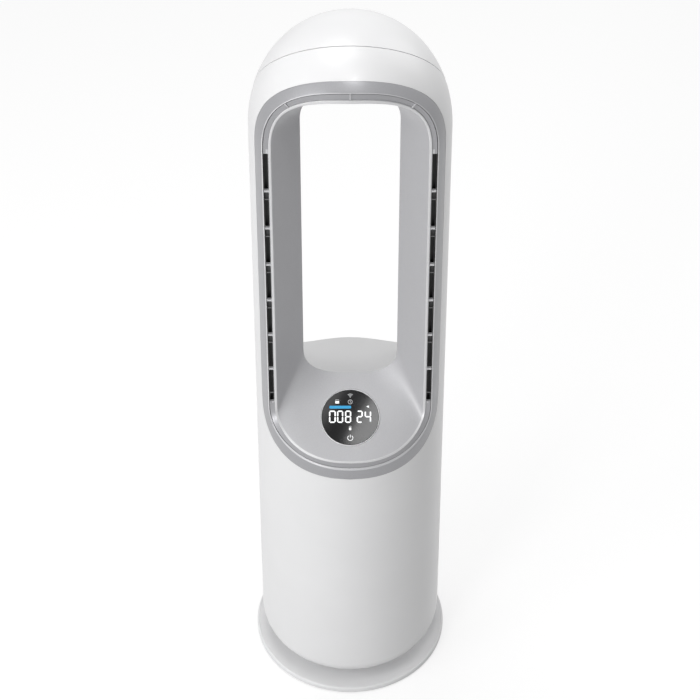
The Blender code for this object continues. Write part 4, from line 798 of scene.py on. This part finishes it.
frame_loops = []
for p, q in zip(frame_out, frame_in):
    root = between(p, q, FRAME_FLANGE_SHARE)
    edge_in, roll = towards(p, q, FRAME_EDGE_R), between(p, q, FRAME_ROLL)
    loop = [on_skin(*p, FRAME_T), on_skin(*p, FRAME_EDGE_R)]
    loop += turned_in(loop[-1], on_skin(*p, 0.0), on_skin(*edge_in, 0.0), 4)
    loop += [on_skin(*between(edge_in, roll, i / 5), 0.0) for i in range(1, 6)]
    loop += turned_in(loop[-1], on_skin(*q, 0.0), behind(q, q, FRAME_ROLL_D), 8)
    loop += [behind(q, q, FRAME_RETURN), behind(q, root, FRAME_RETURN),
             Vector((root[0], face_y(root) + FRAME_T, root[1]))]
    frame_loops.append(loop)
silver_frame = add("silver_frame", ring_loft_bm(frame_loops), "tower", silver)


def frame_look(i, face):
    """Silver on the face. The roll is painted lighter as a painted highlight, and lightest on its upright
    sides, where it lies in shade.
    """
    if i % len(frame_loops[0]) not in ROLL_FACES:
        return 0
    return 2 if abs(face.center.x) > groove_half_w else 1


# The roll's lighter silver is a painted highlight, lighter still on the upright sides where the roll lies
# in shade.
repaint(silver_frame, frame_look, light_silver_and_painted_highlight, lip_silver_and_painted_highlight)
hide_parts("outer_frame")

# Outlet groove: a ring that faces the front, with slots at its sides

channel_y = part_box("outlet_channel_left")[0].y
ring_loops = []
for p, q in zip(frame_in, lip_out):
    outer, inner = towards(p, q, RING_GAP), towards(q, p, RING_FIT)
    face = behind(p, outer, GROOVE_D), behind(p, inner, GROOVE_D)
    back_y = face[0].y + RING_T
    if abs(p[0]) > RING_SIDE * groove_half_w:
        back_y = min(back_y, max(channel_y - GAP, face[0].y + RING_THIN))
    ring_loops.append([face[0], face[0].lerp(face[1], 0.5), face[1],
                       Vector((face[1].x, back_y, face[1].z)), Vector((face[0].x, back_y, face[0].z))])
outlet_ring = add("outlet_ring", ring_loft_bm(ring_loops), "tower", light_silver_and_painted_highlight)

side_y = face_y((groove_half_w, SLOT_Z0))
slot_x = groove_half_w - GROOVE_X / 2
slot_w = GROOVE_X - 2 * RING_FIT - 2 * SLOT_RIM
slots_top = TOWER_TOP - SLOTS_TOP
slot_l = (slots_top - SLOT_Z0 - (SLOT_COUNT - 1) * SLOT_BAR) / SLOT_COUNT
slot_pitch = slot_l + SLOT_BAR

slots = bmesh.new()
rib_bm = bmesh.new()
stop_bm = bmesh.new()
for side in (-1, 1):
    for i in range(SLOT_COUNT):
        z = SLOT_Z0 + i * slot_pitch
        verts = box_into(slots, (slot_w, SLOT_CUT, slot_l), (side * slot_x, side_y, z + slot_l / 2))
        edges = {e for v in verts for e in v.link_edges
                 if abs((e.verts[1].co - e.verts[0].co).normalized().y) > 0.99}
        round_edges(slots, edges, SLOT_CORNER, 6)
        if i < SLOT_COUNT - 1:
            rib_z = z + (slot_l - SLOT_RIB_DROP if i else SLOT_RIB_DROP)
            box_into(rib_bm, (slot_w + GAP, SLOT_RIB_T, SLOT_RIB_H),
                     (side * slot_x, side_y + SLOT_RIB_D, rib_z))
            if i:
                box_into(stop_bm, (slot_w + GAP, STOP_T, SLOT_RIB_DROP),
                         (side * slot_x, side_y + SLOT_RIB_D + STOP_BACK, rib_z + SLOT_RIB_DROP / 2))
boolean(outlet_ring, cutter("cut_slots", slots))
settle(outlet_ring)
# Beside the slots the ring stays light silver; its curves above and below them are painted darker silver as
# painted shade in the curved groove.
repaint(outlet_ring, lambda i, face: 0 if SLOT_Z0 < face.center.z < slots_top else 1, silver)
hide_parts("vent_ring")
add("slot_ribs", rib_bm, "tower", grey)
add("slot_stops", stop_bm, "tower", dark)

# Open troughs behind the slots, black as painted shade inside the slots

trough_bm = bmesh.new()
trough_z0, trough_z1 = SLOT_Z0 - TROUGH_END, slots_top + TROUGH_END
trough_mid, trough_l = (trough_z0 + trough_z1) / 2, trough_z1 - trough_z0
for name in ("outlet_channel_left", "outlet_channel_right"):
    lo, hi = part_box(name)
    mid, size = (lo + hi) / 2, hi - lo
    for x in (lo.x + TROUGH_WALL / 2, hi.x - TROUGH_WALL / 2):
        box_into(trough_bm, (TROUGH_WALL, size.y, trough_l), (x, mid.y, trough_mid))
    box_into(trough_bm, (size.x - 2 * TROUGH_WALL, TROUGH_WALL, trough_l),
             (mid.x, hi.y - TROUGH_WALL / 2, trough_mid))
    for z in (trough_z0 + TROUGH_WALL / 2, trough_z1 - TROUGH_WALL / 2):
        box_into(trough_bm, (size.x - 2 * TROUGH_WALL, size.y - TROUGH_WALL, TROUGH_WALL),
                 (mid.x, mid.y - TROUGH_WALL / 2, z))
# Their black is painted shade: it keeps the inside of the slots dark.
troughs = add("slot_troughs", trough_bm, "tower", black)
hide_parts("outlet_channel_left", "outlet_channel_right")

groove_ribs = bmesh.new()
for share in RIB_SHARES:
    index = CURVE_STEPS + STRAIGHT_STEPS + int(round(CURVE_STEPS * share))
    p, q = frame_in[index], lip_out[index]
    outer, inner = towards(p, q, RIB_FIT), towards(q, p, RIB_FIT)
    foot = GROOVE_D + RIB_FOOT
    ends = [behind(p, outer, foot), behind(p, inner, foot),
            behind(p, inner, RIB_SINK), behind(p, outer, RIB_SINK)]
    along = Vector((q[1] - p[1], 0.0, p[0] - q[0])).normalized() * RIB_W / 2
    first = [groove_ribs.verts.new(v + along) for v in ends]
    last = [groove_ribs.verts.new(v - along) for v in ends]
    groove_ribs.faces.new(first)
    groove_ribs.faces.new(last[::-1])
    bridge(groove_ribs, [first, last])
round_face_edges(groove_ribs, RIB_ROUND, RIB_SPAN)
add("groove_ribs", groove_ribs, "tower", light_silver_and_painted_highlight)

# Liner: a rounded lip beside the groove, then the wall down to the throat

throat_out = grown(throat, LINER_T)
liner_loops = []
for edge, lip, m, t, t2 in zip(frame_in, lip_out, mouth, throat, throat_out):
    corner, end = behind(edge, m, LIP_SINK), Vector((t[0], THROAT_Y, t[1]))
    rim_in = corner + (end - corner).normalized() * LIP_EDGE
    top_out, top_in = towards(lip, m, LIP_EDGE), towards(m, lip, LIP_EDGE)
    loop = [behind(edge, lip, LIP_BACK), behind(edge, lip, LIP_SINK + LIP_EDGE)]
    loop += turned_in(loop[-1], behind(edge, lip, LIP_SINK), behind(edge, top_out, LIP_SINK), 3)
    loop += [behind(edge, top_in, LIP_SINK)]
    loop += turned_in(loop[-1], corner, rim_in, 4)
    loop += [rim_in.lerp(end, i / LINER_ROWS) for i in range(1, LINER_ROWS + 1)]
    loop += [Vector((t2[0], THROAT_Y, t2[1]))]
    liner_loops.append(loop)
liner = add("tunnel_wall", ring_loft_bm(liner_loops), "tower", liner_paint, 40)
repaint(liner, lambda i, face: 1 if i % len(liner_loops[0]) < LIP_FACES else 0, lip_silver_and_painted_highlight)

rear_start = grown(throat, REAR_STEP)
rear_start_out = grown(throat, REAR_STEP + LINER_T)
rear_rim = grown(rear_mouth, LINER_T)
rear_y = THROAT_Y + GAP
rear_loops = []
for t, t2, m, m2 in zip(rear_start, rear_start_out, rear_mouth, rear_rim):
    corner, start = on_skin(*m, LIP_SINK, 1.0), Vector((t[0], rear_y, t[1]))
    rim_in = corner + (start - corner).normalized() * LIP_EDGE
    loop = [start.lerp(rim_in, i / LINER_ROWS) for i in range(LINER_ROWS + 1)]
    loop += turned_in(rim_in, corner, on_skin(*towards(m, m2, LIP_EDGE), LIP_SINK, 1.0), 4)
    loop += [on_skin(*towards(m2, m, LIP_EDGE / 2), LIP_SINK, 1.0),
             on_skin(*m2, LIP_SINK + LIP_EDGE / 2, 1.0), on_skin(*m2, REAR_LAP, 1.0),
             Vector((t2[0], rear_y, t2[1]))]
    rear_loops.append(loop)
rear = add("rear_tunnel_wall", ring_loft_bm(rear_loops), "tower", white_tunnel, 40)
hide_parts("rear_tunnel")


# Display

slope = atan2(THROAT_Z0 - mouth_z0, THROAT_Y + TOWER_R)
display_z = mouth_z0 + (DISPLAY_Y + TOWER_R) * (THROAT_Z0 - mouth_z0) / (THROAT_Y + TOWER_R)
on_display = Matrix.Translation((0, DISPLAY_Y, display_z)) @ Matrix.Rotation(slope, 4, "X")


def placed(bm):
    """Moves a mesh made flat round the origin on to the sloping floor."""
    bm.transform(on_display)
    return bm


boolean(liner, cutter("cut_display", placed(plug_bm(DISPLAY_R + GAP, *DISPLAY_CUT))))
settle(liner, 40)
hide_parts("tunnel_liner")

ring_r0 = GLASS_R + GAP
ring_round = (DISPLAY_R - ring_r0) / 2
ring_low = DISPLAY_PROUD - DISPLAY_RING_H
ring_profile = [(DISPLAY_R, ring_low)]
for i in range(9):
    turn = pi * i / 8
    ring_profile.append((DISPLAY_R - ring_round * (1 - cos(turn)),
                         DISPLAY_PROUD - ring_round * (1 - sin(turn))))
ring_profile.append((ring_r0, ring_low))
bezel = add("display_bezel", placed(turned_bm(ring_profile, DISPLAY_STEPS)),
            "tower", trim, 50)
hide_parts("display_ring")


def crown(r):
    """Height of the window's surface at a distance from its centre."""
    return WINDOW_CROWN * (1 - (r / GLASS_R) ** 2)


window_profile = [(GLASS_R * i / 14, crown(GLASS_R * i / 14)) for i in range(14)]
window_profile += [(GLASS_R - WINDOW_EDGE, crown(GLASS_R - WINDOW_EDGE)), (GLASS_R, -WINDOW_EDGE),
                   (GLASS_R, -WINDOW_T), (0.0, -WINDOW_T)]
window = add("display_window", placed(turned_bm(window_profile, DISPLAY_STEPS, False)),
             "tower", glass)
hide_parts("display_glass")

# Figures on the display, in millimetres across and up the window from its centre


def lifted(x, t):
    """The place of a point of the drawing, just over the window."""
    return Vector((x / MM, t / MM, crown(sqrt(x * x + t * t) / MM) + FIGURE_LIFT))


def stroke(bm, points, width, closed=False):
    """A flat line of even width through points."""
    count = len(points)
    left, right = [], []
    for i, p in enumerate(points):
        a = points[i - 1] if i or closed else p
        b = points[(i + 1) % count] if i < count - 1 or closed else p
        along = Vector((b[0] - a[0], b[1] - a[1])).normalized() * width / 2
        left.append(bm.verts.new(lifted(p[0] - along.y, p[1] + along.x)))
        right.append(bm.verts.new(lifted(p[0] + along.y, p[1] - along.x)))
    for i in range(count if closed else count - 1):
        k = (i + 1) % count
        bm.faces.new((right[i], right[k], left[k], left[i]))


def patch(bm, outline):
    bm.faces.new([bm.verts.new(lifted(x, t)) for x, t in outline])


def arc(x, t, radius, start, end, steps=24):
    """Points of an arc from one angle to another, in degrees from the right, anticlockwise."""
    return [(x + radius * cos(radians(start + (end - start) * i / steps)),
             t + radius * sin(radians(start + (end - start) * i / steps))) for i in range(steps + 1)]


def rounded(x0, t0, x1, t1, radius):
    """Outline of a rectangle with rounded corners."""
    points = []
    for cx, ct, start in ((x1 - radius, t1 - radius, 0), (x0 + radius, t1 - radius, 90),
                          (x0 + radius, t0 + radius, 180), (x1 - radius, t0 + radius, 270)):
        points += arc(cx, ct, radius, start, start + 90, 6)
    return points


SEGMENTS = {"0": "abcdef", "2": "abged", "4": "fgbc", "8": "abcdefg"}
DIGIT_LOW, DIGIT_HIGH = -7.3, 8.9
DIGIT_LINE = 1.75         # width of a segment
DIGIT_GAP = 0.18          # between two segments


def digit(bm, figure, x0, x1):
    """A figure made of bars with pointed ends."""
    half = DIGIT_LINE / 2
    l, r, low, high = x0 + half, x1 - half, DIGIT_LOW + half, DIGIT_HIGH - half
    mid = (low + high) / 2
    bars = {"a": ((l, high), (r, high)), "b": ((r, mid), (r, high)), "c": ((r, low), (r, mid)),
            "d": ((l, low), (r, low)), "e": ((l, low), (l, mid)), "f": ((l, mid), (l, high)),
            "g": ((l, mid), (r, mid))}
    for key in SEGMENTS[figure]:
        (ax, at_), (bx, bt) = bars[key]
        along = Vector((bx - ax, bt - at_)).normalized()
        a = Vector((ax, at_)) + along * DIGIT_GAP
        b = Vector((bx, bt)) - along * DIGIT_GAP
        off = Vector((-along.y, along.x)) * half
        patch(bm, [tuple(v) for v in (a, a + along * half - off, b - along * half - off, b,
                                      b - along * half + off, a + along * half + off)])


def sink(bm):
    """Gives flat figures a thickness, down into the window."""
    moved = bmesh.ops.extrude_face_region(bm, geom=list(bm.faces))
    verts = [v for v in moved["geom"] if isinstance(v, bmesh.types.BMVert)]
    bmesh.ops.translate(bm, vec=(0, 0, -FIGURE_T), verts=verts)
    return placed(bm)


white_bm = bmesh.new()
for figure, x0, x1 in (("0", -26.8, -18.2), ("0", -16.7, -8.8), ("8", -6.6, 1.3),
                       ("2", 8.2, 15.9), ("4", 18.2, 26.5)):
    digit(white_bm, figure, x0, x1)
stroke(white_bm, arc(0.1, -27.0, 3.3, 122, 418, 30), 0.65)
stroke(white_bm, [(0.1, -22.8), (0.1, -26.6)], 0.65)
patch(white_bm, rounded(-1.5, -16.8, 1.3, -13.4, 0.5))
patch(white_bm, [(20.4, 14.2), (23.7, 12.4), (23.5, 15.6)])
patch(white_bm, rounded(-18.9, 18.2, -14.1, 21.4, 0.4))
add("display_figures", sink(white_bm), "tower", lit_white, 30)

dim_bm = bmesh.new()
for radius in (1.4, 2.9, 4.4):
    stroke(dim_bm, arc(0.0, 26.4, radius, 48, 132), 0.55)
patch(dim_bm, arc(0.0, 26.4, 0.45, 0, 330, 11))
stroke(dim_bm, arc(0.0, 20.3, 2.7, 0, 345, 23), 0.5, True)
stroke(dim_bm, [(0.0, 22.1), (0.0, 20.2), (1.3, 19.5)], 0.45)
stroke(dim_bm, [(-18.6, 21.8), (-18.6, 23.0), (-14.4, 23.0), (-14.4, 21.8)], 0.5)
stroke(dim_bm, arc(-0.1, -12.9, 1.3, 0, 180, 16), 0.5)
add("display_symbols", sink(dim_bm), "tower", lit_dim, 30)

blue_bm = bmesh.new()
patch(blue_bm, rounded(-26.3, 11.5, 1.1, 15.2, 1.2))
add("display_level_bar", sink(blue_bm), "tower", lit_blue, 30)


# Base

def rounding(r, z, size, steps):
    """Points of a quarter turn outwards and down. The first point is left out."""
    turns = [pi / 2 * i / steps for i in range(1, steps + 1)]
    return [(r + size * sin(turn), z - size * (1 - cos(turn))) for turn in turns]


crown_z = BASE_RIM_H + BASE_CROWN
hub_z = crown_z + HUB_H
rim_r = BASE_R - BASE_EDGE_R
base_profile = [(POST_BORE, hub_z), (HUB_R - HUB_EDGE_R, hub_z)]
base_profile += rounding(HUB_R - HUB_EDGE_R, hub_z, HUB_EDGE_R, 4)
base_profile += [between((HUB_R, crown_z), (rim_r - BASE_LINE_W, BASE_RIM_H), i / RIM_STEPS)
                 for i in range(RIM_STEPS + 1)]
for share, depth in ((0.8, BASE_LINE_D), (0.5, BASE_LINE_D), (0.2, BASE_LINE_STEP), (0.0, 0.0)):
    base_profile.append((rim_r - share * BASE_LINE_W, BASE_RIM_H - depth))
base_profile += rounding(rim_r, BASE_RIM_H, BASE_EDGE_R, 10)
for i in range(6):
    turn = pi / 2 * i / 5
    base_profile.append((BASE_R - BASE_FOOT_R * (1 - cos(turn)), FOOT_H + BASE_FOOT_R * (1 - sin(turn))))
base_profile += [(BASE_R - BASE_RIM_T, FOOT_H), (BASE_R - BASE_RIM_T, BASE_RIM_H - BASE_SKIN_T),
                 (HUB_R, crown_z - BASE_SKIN_T), (POST_BORE, crown_z - BASE_SKIN_T)]
base = add("base_disc", turned_bm(base_profile), "base", white_base)
grommet_z = (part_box("cord_grommet")[0].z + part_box("cord_grommet")[1].z) / 2
hole = plug_bm(GROMMET_R + GAP, -GROMMET_CUT, GROMMET_CUT, GROMMET_STEPS)
hole.transform(Matrix.Translation((0, BASE_R, grommet_z)) @ Matrix.Rotation(pi / 2, 4, "X"))
boolean(base, cutter("cut_grommet", hole))
settle(base)
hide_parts("base_plate")


# Rear intake cover

cover_az = INTAKE_AZ + degrees(GAP / TOWER_R)
cover_columns = 2 * GRILLE_COLUMNS + 1
column_az = (360 - 2 * cover_az) / cover_columns
row_h = (COVER_Z1 - COVER_Z0 - 2 * GRILLE_EDGE - (GRILLE_ROWS - 1) * GRILLE_BAR) / GRILLE_ROWS
row_lines = [COVER_Z0, COVER_Z0 + GRILLE_EDGE]
for i in range(GRILLE_ROWS):
    row_lines.append(row_lines[-1] + row_h)
    row_lines.append(row_lines[-1] + (GRILLE_BAR if i < GRILLE_ROWS - 1 else GRILLE_EDGE))


def cell_border(a0, a1, z0, z1):
    """Points round a cell of the cover, in degrees and heights, CELL_POINTS to a side."""
    corners = [(a0, z0), (a1, z0), (a1, z1), (a0, z1)]
    points = []
    for i in range(4):
        points += [between(corners[i], corners[(i + 1) % 4], k / CELL_POINTS) for k in range(CELL_POINTS)]
    return points


def slot_border(a0, a1, z0, z1, size):
    """Points round a slot with rounded corners, moved out by a size, one for each point of its cell."""
    wide = radians(1) * TOWER_R
    radius = GRILLE_CORNER + size
    ra = radius / wide
    a0, a1 = a0 - size / wide + ra, a1 + size / wide - ra
    z0, z1 = z0 - size + radius, z1 + size - radius
    corners = [(a0, z0), (a1, z0), (a1, z1), (a0, z1)]

    def rim(i, turn):
        a, z = corners[i % 4]
        angle = radians(180 + 90 * i + turn)
        return (a + ra * cos(angle), z + radius * sin(angle))

    points = []
    for i in range(4):
        first, last = rim(i, 90), rim(i + 1, 0)
        points += [rim(i, 45), rim(i, 67.5), first, between(first, last, 0.5), last, rim(i + 1, 22.5)]
    return points


def closed_cell(bm, border, depth):
    """A cell with no slot, as a small grid between the points of its border."""
    n = CELL_POINTS
    (a0, z0), (a1, z1) = border[0], border[2 * n]
    grid = [[bm.verts.new(at(TOWER_R - depth, a0 + (a1 - a0) * i / n, z0 + (z1 - z0) * k / n))
             for i in range(n + 1)] for k in range(n + 1)]
    for k in range(n):
        for i in range(n):
            bm.faces.new((grid[k][i], grid[k][i + 1], grid[k + 1][i + 1], grid[k + 1][i]))


def open_cell(bm, border, slot):
    """A cell with its slot: the outer face, the rounded wall through the sheet and the inner face."""
    e = GRILLE_ROUND
    layers = [[at(TOWER_R, *p) for p in border]]
    mid = MIDDLE_ROUND * e
    wall = ((e, 0.0), (mid, mid), (0.0, e), (0.0, SKIN_T - e), (mid, SKIN_T - mid), (e, SKIN_T))
    for size, depth in wall:
        layers.append([at(TOWER_R - depth, *p) for p in slot_border(*slot, size)])
    layers.append([at(TOWER_R - SKIN_T, *p) for p in border])
    bridge(bm, [[bm.verts.new(p) for p in layer] for layer in layers])


cover_bm = bmesh.new()
for i in range(GRILLE_COLUMNS):
    a0 = cover_az + column_az * (2 * i + 1)
    a1 = a0 + column_az
    low_a = cover_az if i == 0 else a0 - column_az / 2
    high_a = 360 - cover_az if i == GRILLE_COLUMNS - 1 else a1 + column_az / 2
    for j in range(GRILLE_ROWS):
        z0, z1 = row_lines[2 * j + 1], row_lines[2 * j + 2]
        low_z = COVER_Z0 if j == 0 else z0 - GRILLE_BAR / 2
        high_z = COVER_Z1 if j == GRILLE_ROWS - 1 else z1 + GRILLE_BAR / 2
        border = cell_border(low_a, high_a, low_z, high_z)
        if j == GRILLE_ROWS - 1 and abs(2 * i + 1 - GRILLE_COLUMNS) <= GRIP_SLOTS:
            closed_cell(cover_bm, border, 0.0)
            closed_cell(cover_bm, border, SKIN_T)
        else:
            open_cell(cover_bm, border, (a0, a1, z0, z1))
        outer_sides = ((0, j == 0), (1, i == GRILLE_COLUMNS - 1), (2, j == GRILLE_ROWS - 1), (3, i == 0))
        for side, is_outer in outer_sides:
            if not is_outer:
                continue
            for k in range(CELL_POINTS):
                p, q = border[side * CELL_POINTS + k], border[(side * CELL_POINTS + k + 1) % len(border)]
                cover_bm.faces.new([cover_bm.verts.new(at(TOWER_R - d, *v))
                                    for v, d in ((p, 0.0), (q, 0.0), (q, SKIN_T), (p, SKIN_T))])
bmesh.ops.remove_doubles(cover_bm, verts=cover_bm.verts, dist=WELD)
cover = add("intake_grille", cover_bm, "cover", white)
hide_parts("intake_cover")

# Finger grip, hollow underneath

grip_lo, grip_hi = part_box("cover_grip")
grip_half_w, grip_h = grip_hi.x, grip_hi.z - grip_lo.z
grip_mid_z = (grip_hi.z + grip_lo.z) / 2
grip_line = [(sin(pi / 2 * i / 8), -0.25 + 0.75 * cos(pi / 2 * i / 8)) for i in range(9)]
grip_line += [(0.97, -0.38), (0.88, -0.47), (0.76, -0.50), (0.66, -0.45), (0.52, -0.26), (0.36, -0.10),
              (0.18, -0.02), (0.0, 0.0)]
grip_bm = bmesh.new()
rings = []
for i in range(GRIP_STEPS + 1):
    share = -cos(pi * i / GRIP_STEPS) * GRIP_END
    size = (1 - abs(share) ** GRIP_POWER) ** (1 / GRIP_POWER)
    x = share * grip_half_w
    y0 = sqrt(TOWER_R ** 2 - x * x) - GRIP_SINK
    rings.append([grip_bm.verts.new((x, y0 + d * size * (grip_hi.y - TOWER_R + GRIP_SINK),
                                     grip_mid_z + h * size * grip_h)) for d, h in grip_line])
bridge(grip_bm, rings)
grip_bm.faces.new(rings[0])
grip_bm.faces.new(rings[-1][::-1])
grip = add("finger_grip", grip_bm, "cover", white, 40)
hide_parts("cover_grip")


# Filter: a folded fleece and its pull tab

pleats_lo, pleats_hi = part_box("filter_pleats")
fold_az = (360 - 2 * PLEAT_AZ) / (2 * PLEATS * PLEAT_STEPS)
outer_line, inner_line = [], []
for i in range(2 * PLEATS * PLEAT_STEPS + 1):
    wave = asin(PLEAT_ROUND * -cos(pi * i / PLEAT_STEPS)) / asin(PLEAT_ROUND)
    r = PLEAT_R0 + (PLEAT_R1 - PLEAT_R0) * (0.5 + 0.5 * wave)
    outer_line.append(at(r, PLEAT_AZ + fold_az * i))
    inner_line.append(at(r - PLEAT_SHEET, PLEAT_AZ + fold_az * i))
fold_line = outer_line + inner_line[::-1]
fold_bm = bmesh.new()
rings = []
for k in range(PLEAT_ROWS + 1):
    z = pleats_lo.z + (pleats_hi.z - pleats_lo.z) * k / PLEAT_ROWS
    rings.append([fold_bm.verts.new((p.x, p.y, z)) for p in fold_line])
bridge(fold_bm, rings)
half_line = len(outer_line)
for ring in (rings[0], rings[-1]):
    for i in range(half_line - 1):
        fold_bm.faces.new((ring[i], ring[i + 1], ring[-2 - i], ring[-1 - i]))
folds = add("folded_fleece", fold_bm, "filter", fleece_white, 60)
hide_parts("filter_pleats")



def plate_bm(corners, radius, y0, y1, bm=None):
    """An upright plate with rounded corners, in millimetres, between two depths in metres."""
    return prism_bm([(x / MM, z / MM) for x, z in rounded(*corners, radius)], y0, y1, "Y", bm)


tab_lo, tab_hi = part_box("filter_tab")
tab_bm = plate_bm([MM * v for v in (tab_lo.x, tab_lo.z, tab_hi.x, tab_hi.z)], TAB_CORNER,
                  tab_lo.y, tab_hi.y)
round_face_edges(tab_bm, TAB_ROUND)
for i in range(TAB_BARS):
    z = MM * (tab_lo.z + TAB_BAR_Z0 + TAB_BAR_PITCH * i)
    plate_bm((-TAB_BAR_W, z - TAB_BAR_H, TAB_BAR_W, z + TAB_BAR_H), TAB_BAR_CORNER,
             tab_hi.y - TAB_BAR_SINK, tab_hi.y + TAB_BAR_PROUD, tab_bm)
tab = add("pull_tab", tab_bm, "filter", blue, 40)
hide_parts("filter_tab")


# Light and camera

TARGET = Vector((0.0, 0.0, 0.55))


def area_light(name, place, size, size_y, power, target=TARGET, turn=0.0):
    data = bpy.data.lights.new(name, "AREA")
    data.shape = "RECTANGLE"
    data.size, data.size_y = size, size_y
    data.energy = power
    obj = new_object(name, data)
    obj.location = place
    aim = (Vector(target) - Vector(place)).to_track_quat("-Z", "Y").to_matrix()
    obj.rotation_euler = (aim @ Matrix.Rotation(radians(turn), 3, "Z")).to_euler()


area_light("side_left", (-2.2, -1.2, 1.6), 1.2, 2.0, 13.0)
area_light("front_left", (-1.2, -2.0, 0.7), 0.6, 0.9, 20.5, (0, 0, 0.45))
area_light("key", (-1.3, -1.1, 2.2), 0.7, 0.9, 2.5)
area_light("top", (-0.3, 0.55, 2.6), 1.0, 1.0, 13.5)
area_light("window_glow", (0.157, -0.561, 2.6), 0.24, 0.32, 3.5, (0.157, -0.551, 0.5), -29)
area_light("window_sheen", (-0.135, -0.400, 2.6), 0.18, 0.32, 0.8, (-0.135, -0.390, 0.5), -29)
area_light("rim_right", (1.3, 1.0, 1.8), 1.0, 1.4, 6.0)

WORLD_LIGHT = 0.44        # strength of the studio's even light on the object
FLOOR_GLOW = 0.625        # share of the floor's white that is there for the camera and for reflections


def seen_by_camera(tree, low, high):
    """A strength: low for the light on the object, high for what the camera and reflections see."""
    path = new_node(tree, "ShaderNodeLightPath")
    seen = path.outputs["Is Camera Ray"]
    for kind in ("Is Glossy Ray", "Is Transmission Ray"):
        either = new_node(tree, "ShaderNodeMath", {0: seen, 1: path.outputs[kind]}, operation="MAXIMUM")
        seen = either.outputs["Value"]
    strength = new_node(tree, "ShaderNodeMapRange", {"Value": seen, "To Min": low, "To Max": high})
    return strength.outputs["Result"]


world = bpy.data.worlds.new("studio")
bpy.context.scene.world = world
world.use_nodes = True
background = world.node_tree.nodes["Background"]
background.inputs["Color"].default_value = (1, 1, 1, 1)
world.node_tree.links.new(seen_by_camera(world.node_tree, WORLD_LIGHT, 1.0), background.inputs["Strength"])

FLOOR_SIZE = 12.0
FLOOR_GREY = (0.45, 0.45, 0.45, 1)
floor_bm = bmesh.new()
bmesh.ops.create_grid(floor_bm, x_segments=2, y_segments=2, size=FLOOR_SIZE / 2)
pale = Look("pale_floor")
pale.fix(Base_Color=FLOOR_GREY, Roughness=0.9, Specular_IOR_Level=0.0, Emission_Color=(1, 1, 1, 1))
pale.link(seen_by_camera(pale.tree, 0.0, FLOOR_GLOW), "Emission Strength")
floor = add("floor", floor_bm, None, pale.mat)

CAMERA_PITCH = 45.0       # degrees below level
CAMERA_Y = -2.6158
CAMERA_Z = 3.1495
LENS = 150.0              # on a 36 mm sensor
camera_data = bpy.data.cameras.new("camera")
camera = new_object("camera", camera_data)
camera.location = (0.0, CAMERA_Y, CAMERA_Z)
camera.rotation_euler = (radians(90 - CAMERA_PITCH), 0, 0)
camera_data.lens = LENS
camera_data.sensor_width = 36.0
camera_data.shift_x = -0.0003
camera_data.clip_start, camera_data.clip_end = 0.1, 50.0
bpy.context.scene.camera = camera
bpy.context.scene.view_settings.view_transform = "Standard"
